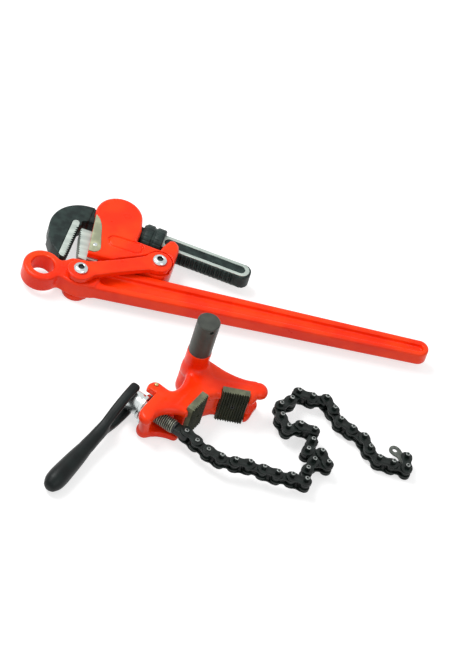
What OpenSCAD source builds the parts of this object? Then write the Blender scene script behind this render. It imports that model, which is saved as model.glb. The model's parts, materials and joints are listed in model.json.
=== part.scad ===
// Compound leverage pipe wrench and its chain trunnion, laid side by side on one floor.
// Millimetres, +Z up, floor at z = 0, origin on the trunnion pin's axis, +X along the wrench handle.

/* [Handle] */
// Overall length from the eye's outer edge to the tip
handle_length = 457; // [430:1:500]
// Thickness at the eye and at the pivot boss
handle_thickness = 22; // [20:0.5:25]
// Wall of the eye around its bore
eye_wall = 8.7; // [7:0.1:10]
// Thickness of the bar over its flanges
bar_thickness = 18; // [14:0.5:19]
// Thickness of the web between the flanges
web_thickness = 8; // [5:0.5:12]

/* [Links] */
// Distance between the two pivot bolts
link_length = 92; // [91:0.5:98]
// Thickness of one side link
link_thickness = 7.5; // [7:0.1:9]
// Shank diameter of a pivot bolt
bolt_diameter = 11; // [9:0.5:12]

/* [Head] */
// Hook jaw shank width over its teeth
shank_width = 24.6; // [22:0.2:25.6]
// Hook jaw thickness
shank_thickness = 19; // [16:0.5:20]
// Length of the shank behind the hook jaw's face
shank_length = 196; // [170:1:220]
// Pitch of the adjusting thread
tooth_pitch = 5; // [4.5:0.1:5.5]
// Diameter of the adjusting nut
nut_diameter = 36.6; // [34:0.2:37.4]
// Length of the adjusting nut
nut_length = 25; // [22:0.5:26]
// Gap between the jaws at their upper end
jaw_gap = 2; // [1.6:0.1:4]

/* [Trunnion] */
// Diameter of the trunnion pin
pin_diameter = 25.4; // [24:0.1:27]
// Length of the pin above its painted boss
pin_exposed = 47; // [40:1:55]
// Height of a jaw pad
pad_height = 46; // [44:0.5:50]
// Width of a jaw pad
pad_width = 30; // [26:0.5:31]
// Thickness of a jaw pad over its teeth
pad_thickness = 9; // [8:0.2:10]
// Thread diameter of the chain screw
screw_diameter = 15.9; // [14:0.1:16.4]
// Thread pitch of the chain screw
screw_pitch = 2.31; // [2:0.01:3]
// Reach of the crank from the screw's axis to its tip
crank_reach = 155; // [135:1:156]
// Greatest radius of the crank's grip
grip_radius = 11.3; // [10:0.1:11.5]

/* [Chain] */
// Pitch of the roller chain
chain_pitch = 15.875; // [15.6:0.005:16]
// Thickness of one chain plate
plate_thickness = 2; // [1.6:0.1:2.2]
// End radius of a chain plate
plate_radius = 6.5; // [6:0.05:6.5]
// Diameter of a chain pin
chain_pin_diameter = 5.08; // [4.6:0.02:5.4]
// Length by which the longer pins stand above the plates
pin_extension = 5; // [2:0.25:6]

/* [Hidden] */
$fn = 48;
// press and running clearances, radial
fit = 0.05;
// free gap between pieces of two bodies
gap = 0.5;

link_count = 34;
function two(i) = str(i < 10 ? "0" : "", i);
LINKS = [for (i = [1:link_count]) str("chain_link_", two(i))];

red = [0.90, 0.20, 0.10];
dark = [0.16, 0.18, 0.18];
bright = [0.75, 0.77, 0.76];
olive = [0.28, 0.29, 0.22];
black = [0.05, 0.05, 0.06];
brass = [0.72, 0.58, 0.32];

// arc of points about a centre, from angle a to angle b
function arc(c, r, a, b, n = 12) = [for (i = [0:n]) c + r * [cos(a + (b - a) * i / n), sin(a
    + (b - a) * i / n)]];
// smooth curve through points, Catmull-Rom, open
function spline(p, n = 6) = concat([for (i = [0:len(p) - 2]) for (k = [0:n - 1])
    let (t = k / n, a = p[max(i - 1, 0)], b = p[i], c = p[i + 1], d = p[min(i + 2, len(p) - 1)])
    0.5 * (2 * b + (c - a) * t + (2 * a - 5 * b + 4 * c - d) * t * t + (3 * b - a - 3 * c
        + d) * t * t * t)],
    [p[len(p) - 1]]);

// wrench layout: handle frame has the eye at its origin and the mid plane at z = 0
wrench_x = -178.5;
wrench_y = 106;
half_stack = handle_thickness / 2 + gap + link_thickness;
wrench_z = half_stack;
eye_bore = pin_diameter / 2 + 0.3;
eye_radius = eye_bore + eye_wall;
bolt_r = bolt_diameter / 2;
link_angle = 23.45;
// the head keeps its place by the eye, so a shorter link brings the handle's boss nearer to it
boss_shift = (92 - link_length) * [cos(link_angle), sin(link_angle)];
bolt1 = [40.9, -2.8] + boss_shift;
bolt2 = bolt1 + link_length * [cos(link_angle), sin(link_angle)];
tip_r = 11.2;
tip_u = handle_length - eye_radius - tip_r;

// head frame: x along the shank from the hook jaw's face, y up from the shank's axis
head_angle = -11.3;
bolt2_head = [97.4, -40.2];
boss_r = 16.2;
shank_end = shank_length - shank_width / 2;
nut_at = 79.6;
lobe = [36.7, 4.8];
lobe_r = 26.5;
slot_h = shank_width / 2 + gap;
slot_z = shank_thickness / 2 + gap;
heel_lean = 13.4;
pin_head = [25.4, -50.5];

// trunnion frame: x from the pin towards the open side of the V
trunnion_angle = -58;
vee_x = 44;
pad_start = 9.5;
body_bottom = pad_height / 2 - 19;
body_top = pad_height / 2 + 19;
plate_top = 9;
plate_bottom = 8;
axis_z = pad_height / 2;
boss_top = body_top + 22;
pin_r = pin_diameter / 2;
boss_radius = pin_r + 0.6;
spigot_r = pin_r * 0.6;
// face frame: x along the left pad, y out of its toothed face
axis_s = 54;
hood_out = -46;
screw_r = screw_diameter / 2;
pivot_n = -68;
p1_n = 3.5;
bulge = crank_reach - 18;
droop = asin((axis_z - grip_radius - 0.3) / bulge);

// chain plane: starts at the first pin, sinks to the floor at its far end
headings = [-37.5, -32.8, -23.5, -0.8, 5.8, -8.0, -6.3, 3.8, -5.0, 90.3, 66.7, 4.6, 120.7, 188.9, 73.7,
    87.3, 169.8,
    211.6, 121.5, 98.0, 46.3, 62.1, -7.7, 10.8, -53.5, -58.2, -29.1, -27.1, -62.7, -45.1, -5.7, -5.7,
        94.4, 141.2];
function pin_xy(i) = i <= 1 ? [0, 0] : pin_xy(i - 1) + chain_pitch * [cos(headings[i - 2]),
    sin(headings[i - 2])];
chain_pin_r = chain_pin_diameter / 2;
inner_half = 2.4;
inner_out = inner_half + plate_thickness;
outer_in = inner_out + 0.35;
outer_out = outer_in + plate_thickness;
eye_half = outer_in - 0.9;
pin_low = outer_out + 1;
sink_dir = 14;
reaches = [for (i = [1:link_count + 1]) pin_xy(i) * [cos(sink_dir), sin(sink_dir)]];
sink = asin((axis_z - pin_low - 0.25) / (max(reaches) + plate_radius));
p1_face = [axis_s, p1_n];
face_angle = trunnion_angle - 60;
p1_world = vee_x * [cos(trunnion_angle), sin(trunnion_angle)]
    + p1_face[0] * [cos(face_angle), sin(face_angle)] + p1_face[1] * [-sin(face_angle), cos(face_angle)];

module wrench_frame() translate([wrench_x, wrench_y, wrench_z]) children();
module head_frame() wrench_frame() translate([bolt2[0], bolt2[1], 0]) rotate([0, 0, head_angle])
    translate([-bolt2_head[0], -bolt2_head[1], 0]) children();
module trunnion_frame() rotate([0, 0, trunnion_angle]) children();
module face_frame() trunnion_frame() translate([vee_x, 0, 0]) rotate([0, 0, -60]) children();
module other_face_frame() trunnion_frame() mirror([0, 1, 0]) translate([vee_x, 0, 0]) rotate([0, 0,
    -60]) children();
module screw_frame() face_frame() translate([axis_s, 0, axis_z]) rotate([-90, 0, 0]) children();
module swivel_frame() face_frame() translate([axis_s, pivot_n, axis_z]) rotate([0, droop, 0]) children();
module chain_frame() translate([p1_world[0], p1_world[1], axis_z]) rotate([0, 0, sink_dir]) rotate([0,
    sink, 0])
    rotate([0, 0, -sink_dir]) children();
module link_frame(i) chain_frame() translate([pin_xy(i)[0], pin_xy(i)[1], 0]) rotate([0, 0,
    headings[i - 1]]) children();

module slab(points, t) translate([0, 0, -t / 2]) linear_extrude(t) polygon(points);
module disc(c, r, t) translate([c[0], c[1], -t / 2]) cylinder(r = r, h = t);

// forged handle with its eye, pivot boss and flanged bar
boss_u = boss_shift[0];
function top_v(u) = 19.2 + (11 - 19.2) * (u - 31.6) / (tip_u - 31.6);
function low_v(u) = -16.9 + (-11.1 + 16.9) * (u - 53.4) / (tip_u - 53.4);
recess_u = 72 + boss_u;
recess_1 = [recess_u, (top_v(recess_u) - 10 + low_v(recess_u) + 8) / 2];
recess_r1 = (top_v(recess_u) - low_v(recess_u) - 18) / 2;
recess_2 = [tip_u, (top_v(tip_u) - 7 + low_v(tip_u) + 5.4) / 2];
recess_r2 = (top_v(tip_u) - low_v(tip_u) - 12.4) / 2;
module handle() color(red) wrench_frame() difference() {
    union() {
        rotate_extrude() polygon([[0, -handle_thickness / 2], [eye_radius - 3, -handle_thickness / 2],
            [eye_radius - 0.9, -handle_thickness / 2 + 0.9], [eye_radius, -handle_thickness / 2 + 3],
            [eye_radius, handle_thickness / 2 - 3], [eye_radius - 0.9, handle_thickness / 2 - 0.9],
            [eye_radius - 3, handle_thickness / 2], [0, handle_thickness / 2]]);
        slab(concat([[4, 14]], spline([[10, 16.5], [17, 12.6], [24, 14.4],
            [31.6 + boss_u, 19.4], [42 + boss_u, 19.7], [52 + boss_u, 19.4]]),
            [[60 + boss_u, 18], [66 + boss_u, 0], [60 + boss_u, -15.8]],
            spline([[53.4 + boss_u, -17.2], [42 + boss_u, -18.6], [30 + boss_u, -15.4], [20, -11.6],
                [10, -14.4]]), [[4, -13]]), handle_thickness);
        slab(concat([[44 + boss_u, top_v(44 + boss_u)]], arc([tip_u, 0], tip_r, 79, -82, 20),
            [[53.4 + boss_u, low_v(53.4 + boss_u)], [44 + boss_u, -10]]), bar_thickness);
    }
    translate([0, 0, -handle_thickness]) cylinder(r = eye_bore, h = 2 * handle_thickness);
    translate([bolt1[0], bolt1[1], -handle_thickness]) cylinder(r = bolt_r + fit,
        h = 2 * handle_thickness);
    for (side = [1, -1]) translate([0, 0, side * (web_thickness / 2 + bar_thickness / 2)])
        slab(concat(arc(recess_1, recess_r1, 270, 90, 14), arc(recess_2, recess_r2, 90, -90, 12)),
            bar_thickness);
}

// side links with their two bolt holes
link_end = 14.6;
module link(side) wrench_frame() translate([bolt1[0], bolt1[1], side * (handle_thickness / 2 + gap
    + link_thickness / 2)])
    rotate([0, 0, link_angle]) difference() {
        union() {
            disc([0, 0], link_end, link_thickness);
            disc([link_length, 0], link_end, link_thickness);
            slab(concat(spline([[8, 12.2], [16, 10], [link_length / 2, 9.2], [link_length - 16, 10],
                [link_length - 8, 12.2]]),
                spline([[link_length - 8, -12.2], [link_length - 16, -10], [link_length / 2, -9.2],
                    [16, -10],
                [8, -12.2]])), link_thickness);
        }
        for (x = [0, link_length]) translate([x, 0, -link_thickness]) cylinder(r = bolt_r + fit,
            h = 2 * link_thickness);
    }
module front_link() color(red) link(1);
module rear_link() color(red) link(-1);

// pivot bolts: domed heads in front, threaded flush into the rear link
module pivot_bolts() color(bright) wrench_frame() for (c = [bolt1, bolt2]) translate([c[0], c[1], 0])
    rotate_extrude()
    polygon([[0, -half_stack + 0.4], [bolt_r - 0.6, -half_stack + 0.4], [bolt_r, -half_stack + 1],
        [bolt_r, half_stack + fit], [8.1, half_stack + fit], [8.1, half_stack + 1.6], [6.9,
            half_stack + 3.2],
        [4.2, half_stack + 4.4], [2.6, half_stack + 4.6], [2.6, half_stack + 2.6], [0, half_stack
            + 2.6]]);

// head housing: loop for the shank, seat for the heel jaw, window for the nut and the lug behind it
function left_x(y) = 12.7 - 0.148 * (y + 6.5);
leaf_side = concat([[left_x(-7) + 0.8, -7]], spline([[18.6, -11.5], [23.5, -20.6], [27.8, -36], [32,
    -51], [31.4, -57.2],
    [27, -61]]), [[left_x(-61) + 1.4, -61.6]]);
nut_left = nut_at - nut_length / 2;
nut_right = nut_at + nut_length / 2;
module housing_block() slab(concat(arc(lobe, lobe_r, 11, 205, 40), [[left_x(-64.5), -64.5], [67, -57.6]],
    arc(bolt2_head, boss_r, 262, 358, 16), [[bolt2_head[0] + boss_r - 1, -14]],
    spline([[bolt2_head[0] + boss_r - 3, -7], [bolt2_head[0] + 7, -2.4], [bolt2_head[0] + 1.4, -4.2]]),
    [[nut_right + 2.4, -15], [nut_right + 1, -22.2], [nut_left - 0.2, -22.2], [nut_left - 1, -20],
    [nut_left - 1, -4]]), 2 * half_stack);
relief_r = link_end + 0.9;
module housing_cuts() {
    // shank slot and the spring pocket above it
    translate([-20, -slot_h, -slot_z]) cube([160, 2 * slot_h, 2 * slot_z]);
    translate([20, slot_h - 1, -6.5]) cube([33.4, 4, 13]);
    translate([lobe[0], slot_h, 0]) rotate([-90, 0, 0]) cylinder(r = 5.6, h = 12.9);
    // seat of the heel jaw's tongue
    translate([0, -66, -slot_z]) cube([34, 66 - slot_h + 1, 2 * slot_z]);
    // pivot bore, pin bore and link relief
    translate([bolt2_head[0], bolt2_head[1], -50]) cylinder(r = bolt_r + fit, h = 100);
    translate([pin_head[0], pin_head[1], -50]) cylinder(r = 2.5 + fit, h = 100);
    for (side = [1, -1]) {
        translate([bolt2_head[0], bolt2_head[1], side * (handle_thickness / 2 + 20)])
            rotate([0, 0, link_angle - head_angle + 180]) slab(concat(arc([0, 0], relief_r, 270, 118, 24),
                [[20, 120], [130, 80], [130, -10.8], [24, -10.8], [12, -11.5]]), 40);
        // seats of the leaf plates and the plain oval panel
        translate([0, 0, side * (half_stack - 1.25 + 2)]) slab(concat([[0, -5], [left_x(-6), -6.2]],
            [for (p = leaf_side) p + [0.35, p[1] < -50 ? -0.35 : 0.2]], [[0, -62.4]]), 4.1);
        translate([56, -34.5, side * (half_stack + 0.6)]) rotate([0, 0, 4])
            slab(concat(arc([12, 0], 8, -90, 90, 16), arc([-12, 0], 8, 90, 270, 16)), 2.4);
    }
}
module head_housing() color(red) head_frame() difference() {
    housing_block();
    housing_cuts();
}

// heel jaw: toothed block with a tongue in the housing, held by a cross pin
heel_top = -25;
heel_low = -68.8;
heel_teeth = 14;
heel_len = (heel_top - heel_low) / cos(heel_lean);
module heel_jaw() color(bright) head_frame() difference() {
    slab(concat([for (i = [0:heel_teeth - 1]) for (k = [0, 1]) let (t = (i
        + (k == 0 ? 0.15 : 0.85)) / heel_teeth * heel_len)
            [jaw_gap + (k == 0 ? 1.7 : 0), heel_top] + t * [sin(heel_lean), -cos(heel_lean)]],
        [[left_x(heel_low) + 0.2, heel_low], [left_x(heel_low), -65.6], [33.6, -65.6], [33.6,
            -slot_h - 1.4], [24, -slot_h - 1.4],
        [left_x(heel_top) - 0.6, heel_top]]), shank_thickness);
    translate([pin_head[0], pin_head[1], -50]) cylinder(r = 2.5 + fit, h = 100);
}
module heel_jaw_plates() color(bright) head_frame() for (side = [1, -1]) difference() {
    translate([0, 0, side * (half_stack - 0.6)]) slab(concat([[left_x(-7), -7]], leaf_side,
        [[left_x(-61.6), -61.6]]), 1.2);
    translate([pin_head[0], pin_head[1], -50]) cylinder(r = 2.5 + fit, h = 100);
}
module heel_jaw_pin() color(bright) head_frame() translate([pin_head[0], pin_head[1], -half_stack + 0.1])
    cylinder(r = 2.5, h = 2 * half_stack + 0.4);

// inner springs that keep the hook jaw's shank down on its seat
spring_turns = 3.5;
spring_wire = 0.7;
spring_r = 4.4;
spring_rise = 9.2 / spring_turns;
function spring_point(k) = let (a = 360 * k / 8) [spring_r * cos(a), spring_rise * k / 8,
    spring_r * sin(a)];
spring_steps = 8 * spring_turns;
function spring_ring(k) = let (c = spring_point(k), a = 360 * k / 8) [for (j = [0:5])
    c + spring_wire * (cos(60 * j) * [cos(a), 0, sin(a)] + sin(60 * j) * [0, 1, 0])];
spring_gap = min([for (k = [0:spring_steps]) for (m = [k + 6:spring_steps])
    norm(spring_point(k) - spring_point(m))])
    - 2 * spring_wire;
echo(spring_gap_to_itself = spring_gap);
module coil_spring() color(bright) head_frame() translate([lobe[0], slot_h + 3 - 0.15, 0])
    polyhedron(points = [for (k = [0:spring_steps]) each spring_ring(k)],
        faces = concat([[for (j = [5:-1:0]) j]], [for (k = [0:spring_steps - 1]) for (j = [0:5])
            [6 * k + j, 6 * k + (j + 1) % 6, 6 * k + 6 + (j + 1) % 6, 6 * k + 6 + j]],
            [[for (j = [0:5]) 6 * spring_steps + j]]));
module flat_spring() color(bright) head_frame() slab(concat(
    [for (i = [0:12]) let (x = 21 + 31.4 * i / 12) [x, slot_h + 0.4
        + 0.7 * (1 - pow((x - lobe[0]) / 15.7, 2))]],
    [for (i = [12:-1:0]) let (x = 21 + 31.4 * i / 12) [x, slot_h + 1.4
        + 0.7 * (1 - pow((x - lobe[0]) / 15.7, 2))]]), 11);

// adjusting nut: two ribbed bands with a groove between them
nut_bore = 0.54 * shank_width + gap;
module adjusting_nut() color(dark) head_frame() translate([nut_at - nut_length / 2, 0, 0]) rotate([0,
    90, 0]) difference() {
    rotate_extrude() polygon([[nut_bore, 0], [nut_diameter / 2 - 2.4, 0], [nut_diameter / 2 - 1, 2],
        [nut_diameter / 2, 3],
        [nut_diameter / 2, nut_length * 0.44], [nut_diameter / 2 - 1.6, nut_length * 0.48],
            [nut_diameter / 2 - 1.6, nut_length * 0.56],
        [nut_diameter / 2, nut_length * 0.6], [nut_diameter / 2, nut_length - 1],
            [nut_diameter / 2 - 1, nut_length],
        [nut_bore, nut_length]]);
    for (a = [0:15:345]) rotate([0, 0, a]) translate([nut_diameter / 2 + 0.5, 0, 2.5])
        cylinder(r = 1.1, h = nut_length, $fn = 16);
}

// hook jaw with its toothed strip and threaded shank
tooth_count = floor((shank_end - 50) / tooth_pitch);
function rack(y, s) = [for (i = [0:tooth_count - 1]) for (k = [0:3])
    [50 + (i + [0.08, 0.42, 0.58, 0.92][k]) * tooth_pitch, s * (y - [2.3, 0, 0, 2.3][k])]];
function back(l) = [for (i = [len(l) - 1:-1:0]) l[i]];
hook_teeth = 15;
module hook_jaw() color(dark) head_frame() difference() {
    union() {
        intersection() {
            slab(concat([[0, -shank_width / 2 + 1]], [[46, -shank_width / 2 + 1]],
                rack(shank_width / 2, -1),
                arc([shank_end, 0], shank_width / 2 - 1, -80, 80, 10), back(rack(shank_width / 2, 1)),
                [[46, shank_width / 2 - 1], [0, shank_width / 2 - 2.4]]), shank_thickness);
            translate([-40, 0, 0]) rotate([0, 90, 0]) cylinder(r = 0.54 * shank_width,
                h = shank_length + 60);
        }
        slab(concat(arc([6.9, -28.4], 39, 88, 205, 16), spline([[-27.6, -51], [-20.4, -62.6], [-13.4,
            -69], [-8.6, -72.6]]),
            [[-6.5, -74.9], [-3.4, -75.6], [-0.8, -74.8]],
            [for (i = [0:hook_teeth - 1]) for (k = [0, 1]) [k == 0 ? -2.4 : 0, -73.6 + (i
                + (k == 0 ? 0.15 : 0.85)) / hook_teeth * 48.6]],
            [[-0.4, -24.4]], arc([5.2, -17], 4, 225, 90, 8), [[7.6, -11], [7.6, 8]]), shank_thickness);
    }
    for (side = [1, -1]) translate([0, 0, side * (shank_thickness / 2 + 0.2)]) {
        slab([[104, -5.4], [shank_end - 1, -5.4], [shank_end - 1, 5.4], [104, 5.4]], 2.4);
        disc([104, 0], 5.4, 2.4);
        disc([shank_end - 1, 0], 5.4, 2.4);
    }
}

// trunnion casting: pin boss, upper and lower plates, V wall, hood for the chain screw
// a point of the left face frame, given in the trunnion frame
function ft(s, n) = [vee_x + s * cos(60) + n * sin(60), -s * sin(60) + n * cos(60)];
upper = concat(spline([[-6, 14], [2, 20.4], [16.1, 28.6], [27, 37.4], [35, 46.5], [40.1, 56]], 5),
    arc([51.5, 53], 10.6, 160, -30, 12), [[66, 38], [62, 26], [52, 15.2], [46, 4], [46, -4], [60, -30]],
    spline([ft(41, -6.5), ft(46.7, -14.5), ft(52, -21), ft(57, -25.6), ft(64, -28.8), ft(72, -29.8),
    ft(78, -29.2), ft(82, -31.4), ft(83.4, -36), ft(80.6, -42.4), ft(74, -46.6), ft(66, -48.6), ft(56,
        -49.4),
    [22, -69.4], [15, -66.4], [9.6, -61.4], [8.6, -55], [11.6, -49.8], [19, -46], [24.6, -42.6],
        [25.4, -36.4],
    [20.6, -26.4], [8, -13.6]], 5), [[-4, -12]]);
lower = concat(spline([[-6, 12], [8, 18], [20, 28], [34, 42]], 5), arc([46, 50], 9.6, 160, -20, 10),
    [[66, 36], [60, 26], [50, 15], [44, 4], [44, -4], [58, -30]],
    spline([ft(42, -6.5), ft(47, -5), ft(52, -4.4), ft(55.6, -5.6), ft(57.4, -9), ft(59, -14), ft(63.6,
        -22),
    ft(70, -28.6), ft(75, -33.4), ft(76.4, -38.6), ft(73.4, -44), ft(66, -47.2), ft(57, -48.4), [22, -68.2],
    [15, -65.8], [10, -61], [9, -55], [12, -50.2], [19, -46.6], [23.6, -42.8],
    [24.2, -36.4], [20, -27], [8, -13]], 5), [[-4, -12]]);
module vee_wall() linear_extrude(body_top - body_bottom - 2) polygon([[-6, 10], [26.7, 10], [47.4, 45.9],
    [59, 41], [44, 8], [44, -8], [59, -41], [47.4, -45.9], [26.7, -10], [-6, -10]]);
slot_low = body_bottom + plate_bottom - 0.4;
slot_tall = body_top - plate_top + 0.4 - slot_low;
module trunnion_body() color(red) difference() {
    union() {
        trunnion_frame() {
            cylinder(r = boss_radius, h = boss_top);
            translate([0, 0, body_top - 1]) rotate_extrude() polygon([[0, 0], [boss_radius + 6, 0],
                [boss_radius + 3.4, 1.8], [boss_radius + 1.4, 4.2], [boss_radius + 0.3, 8], [0, 8]]);
            translate([0, 0, body_top - plate_top]) linear_extrude(plate_top) polygon(upper);
            translate([0, 0, body_bottom]) linear_extrude(plate_bottom) polygon(lower);
            translate([0, 0, body_bottom + 1]) vee_wall();
        }
        // outer wall of the hood, bored for the nut and the screw
        face_frame() translate([0, 0, body_bottom + 1]) linear_extrude(body_top - body_bottom - 3)
            polygon(
            concat([[39.5, hood_out - 1], [58, hood_out - 1]], spline([[64, -46.4], [72, -44.4], [77,
                -40.4],
            [78.6, -35.6], [76.6, -31.6], [71, -30.6], [66, -32.2], [61, -35]], 4), [[39.5, -35]]));
    }
    // seats of the two pads, bored for their screws
    for (m = [0, 1]) trunnion_frame() mirror([0, m, 0]) translate([vee_x, 0, 0]) rotate([0, 0, -60]) {
        translate([pad_start - gap, -pad_thickness - fit, -1])
            cube([pad_width + 2 * gap, 60, pad_height + 2]);
        translate([pad_start + pad_width / 2, -60, axis_z]) rotate([-90, 0, 0]) cylinder(r = 2.6, h = 70);
    }
    face_frame() {
        // bores of the screw and of the swivel nut
        translate([axis_s, -100, axis_z]) rotate([-90, 0, 0]) cylinder(r = screw_r + gap, h = 140);
        translate([axis_s, hood_out - 2, axis_z]) rotate([-90, 0, 0]) cylinder(r = 11.4, h = 6.4);
        // knuckle space of the nut retainer between the two lugs, and its pin
        translate([28, -70, slot_low]) cube([60, 70 + hood_out, slot_tall]);
        translate([axis_s - 11, -80, -1]) cube([60, 80 + hood_out, 100]);
        translate([34, -52.4, -1]) cylinder(r = 2.2 + fit, h = 100);
    }
    // bore of the pin's spigot
    translate([0, 0, boss_top - 40]) cylinder(r = spigot_r + fit, h = 60);
}
module trunnion_pin() color(dark) difference() {
    union() {
        translate([0, 0, boss_top + fit]) rotate_extrude() polygon([[0, 0], [pin_r, 0], [pin_r,
            pin_exposed - 1], [pin_r - 1, pin_exposed],
            [0, pin_exposed]]);
        translate([0, 0, boss_top - 39]) cylinder(r = spigot_r, h = 40);
    }
    translate([0, 0, boss_top + pin_exposed - 5.4]) rotate([0, 90, trunnion_angle - 8]) translate([0,
        0, -40]) cylinder(r = 2.3, h = 80);
}

// jaw pads: upright teeth and a counterbored screw hole
pad_teeth = 11;
module jaw_pad() difference() {
    linear_extrude(pad_height) polygon(concat([[pad_start + pad_width, -pad_thickness], [pad_start,
        -pad_thickness]],
        [for (i = [0:pad_teeth - 1]) for (k = [0:1]) [pad_start + (i + [0.12,
            0.62][k]) * pad_width / pad_teeth, [-1.4, 0][k]]],
        [[pad_start + pad_width, -1.4]]));
    translate([pad_start + pad_width / 2, 0, axis_z]) rotate([90, 0, 0]) {
        translate([0, 0, -5]) cylinder(r = 2.6, h = 60);
        translate([0, 0, -5]) cylinder(r = 4.5, h = 9.5);
    }
}
module left_jaw_pad() color(olive) face_frame() jaw_pad();
module right_jaw_pad() color(olive) other_face_frame() jaw_pad();
module pad_screw() translate([pad_start + pad_width / 2, -4.45, axis_z]) rotate([90, 0, 0]) difference() {
    union() {
        translate([0, 0, -2.6]) cylinder(r = 4.3, h = 2.6);
        cylinder(r = 2.5, h = 13);
    }
    translate([0, 0, -4]) cylinder(r = 1.6, h = 3, $fn = 6);
}
module pad_screws() color(dark) {
    face_frame() pad_screw();
    other_face_frame() pad_screw();
}

// forked plate that keeps the swivel nut on the hood, with a knuckle under the lug
module nut_retainer() color(bright) face_frame() difference() {
    union() {
        translate([34, hood_out - fit - 2.6, body_bottom + plate_bottom + 0.4]) cube([34, 2.6,
            38 - plate_top - plate_bottom - 0.8]);
        translate([34, -52.4, body_bottom + plate_bottom + 0.4]) cylinder(r = 4.2,
            h = 38 - plate_top - plate_bottom - 0.8);
        translate([34, -52.4, body_bottom + plate_bottom + 0.4]) cube([4.2, 5,
            38 - plate_top - plate_bottom - 0.8]);
    }
    translate([34, -52.4, 0]) cylinder(r = 2.2 + fit, h = 100);
    translate([axis_s, -80, axis_z]) rotate([-90, 0, 0]) cylinder(r = 10.2, h = 60);
    translate([axis_s - 10.2, -80, -1]) cube([20.4, 60, axis_z + 1]);
}
module retainer_pin() color(brass) face_frame() translate([34, -52.4, body_bottom + 1])
    cylinder(r = 2.2, h = 38);

// swivel nut, turning in the hood, and its two crank pins
nut_in = hood_out + 3.6;
nut_flange = hood_out - 3.1;
arm_half = 4.4;
arm_out = axis_z - 0.6;
arm_z = arm_out - arm_half;
nut_body = arm_z - arm_half - 1;
crank_pin_r = 3.2;
module swivel_nut() color(bright) swivel_frame() translate([0, -pivot_n, 0]) rotate([-90, 0, 0])
    difference() {
    rotate_extrude() polygon([[screw_r + 0.4, pivot_n - 7.4], [nut_body - 2.4, pivot_n - 7.4],
        [nut_body - 0.7, pivot_n - 6.7], [nut_body, pivot_n - 5], [nut_body, nut_flange - 4.2], [14.6,
            nut_flange - 4.2],
        [15, nut_flange - 3.6], [15, nut_flange - 0.4], [9.7, nut_flange - 0.4], [9.7, hood_out + 0.4],
        [10.9, hood_out + 0.4], [10.9, nut_in], [screw_r + 0.4, nut_in]]);
    for (s = [1, -1]) translate([0, 0, pivot_n]) rotate([s * 90, 0, 0])
        translate([0, 0, screw_r + 1.6]) cylinder(r = crank_pin_r + fit, h = 20);
}
module crank_pins() color(bright) swivel_frame() for (s = [1, -1]) rotate([s > 0 ? 0 : 180, 0, 0])
    translate([0, 0, screw_r + 1.65]) cylinder(r = crank_pin_r, h = arm_out - 2 - screw_r - 1.65);

// crank: fork over the nut, neck and long grip
fork_end = 62;
module crank_fork() rotate([90, 0, 0]) slab(concat(
    arc([-2.6, arm_z], arm_half, 270, 90, 10),
    spline([[6, arm_out - 0.3], [14, arm_out - 1.2], [32, arm_z - 0.6], [50, 10.4], [fork_end + 4,
        6.6], [fork_end + 22, 4]], 5),
    spline([[fork_end + 22, -4], [fork_end + 4, -6.6], [50, -10.4], [32, -arm_z + 0.6],
        [14, -arm_out + 1.2], [6, -arm_out + 0.3]], 5),
    arc([-2.6, -arm_z], arm_half, -90, -270, 10),
    [[4, -arm_z + arm_half]],
    spline([[12, -arm_z + arm_half - 0.2], [26, -10.6], [40, -6], [46, 0], [40, 6], [26, 10.6],
        [12, arm_z - arm_half + 0.2]], 5),
    [[4, arm_z - arm_half]]), 11);
module crank_grip() rotate([0, 90, 0]) rotate_extrude() polygon(concat([[0, 52], [5.4, 52]],
    spline([for (p = [[-4.9, 60], [-4.5, 70], [-3.3, 84], [-1.5, 104], [-0.2, bulge - 10], [0, bulge],
        [-0.9, bulge + 8], [-4, crank_reach - 3]]) [grip_radius + p[0], p[1]]], 5),
    [[grip_radius - 7, crank_reach - 0.6], [0, crank_reach]]));
module crank_handle() color(black) swivel_frame() difference() {
    union() {
        crank_fork();
        crank_grip();
    }
    translate([0, 0, -arm_out + 1.8]) cylinder(r = crank_pin_r + fit, h = 2 * arm_out - 3.6);
}

// chain screw: ridged thread and a flat eye for the first chain pin
screw_tail = pivot_n - 4.4;
ridge_count = floor((-9 - screw_tail - 4) / screw_pitch);
module chain_screw() color(bright) {
    screw_frame() rotate_extrude() polygon(concat([[0, screw_tail], [screw_r - 1.6, screw_tail]],
        [for (i = [0:ridge_count - 1]) for (k = [0:3]) [screw_r - [1.2, 0, 0, 1.2][k], screw_tail
            + 1.5 + (i + [0.1, 0.4, 0.6, 0.9][k]) * screw_pitch]],
        [[screw_r - 1.2, -9], [0, -9]]));
    face_frame() translate([axis_s, p1_n, axis_z]) difference() {
        union() {
            disc([0, 0], 6.6, 2 * eye_half);
            translate([-5.6, -p1_n - 9.5, -eye_half]) cube([11.2, p1_n + 9.5,
                2 * eye_half]);
        }
        translate([0, 0, -20]) cylinder(r = chain_pin_r + 0.62, h = 40);
    }
}

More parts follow.
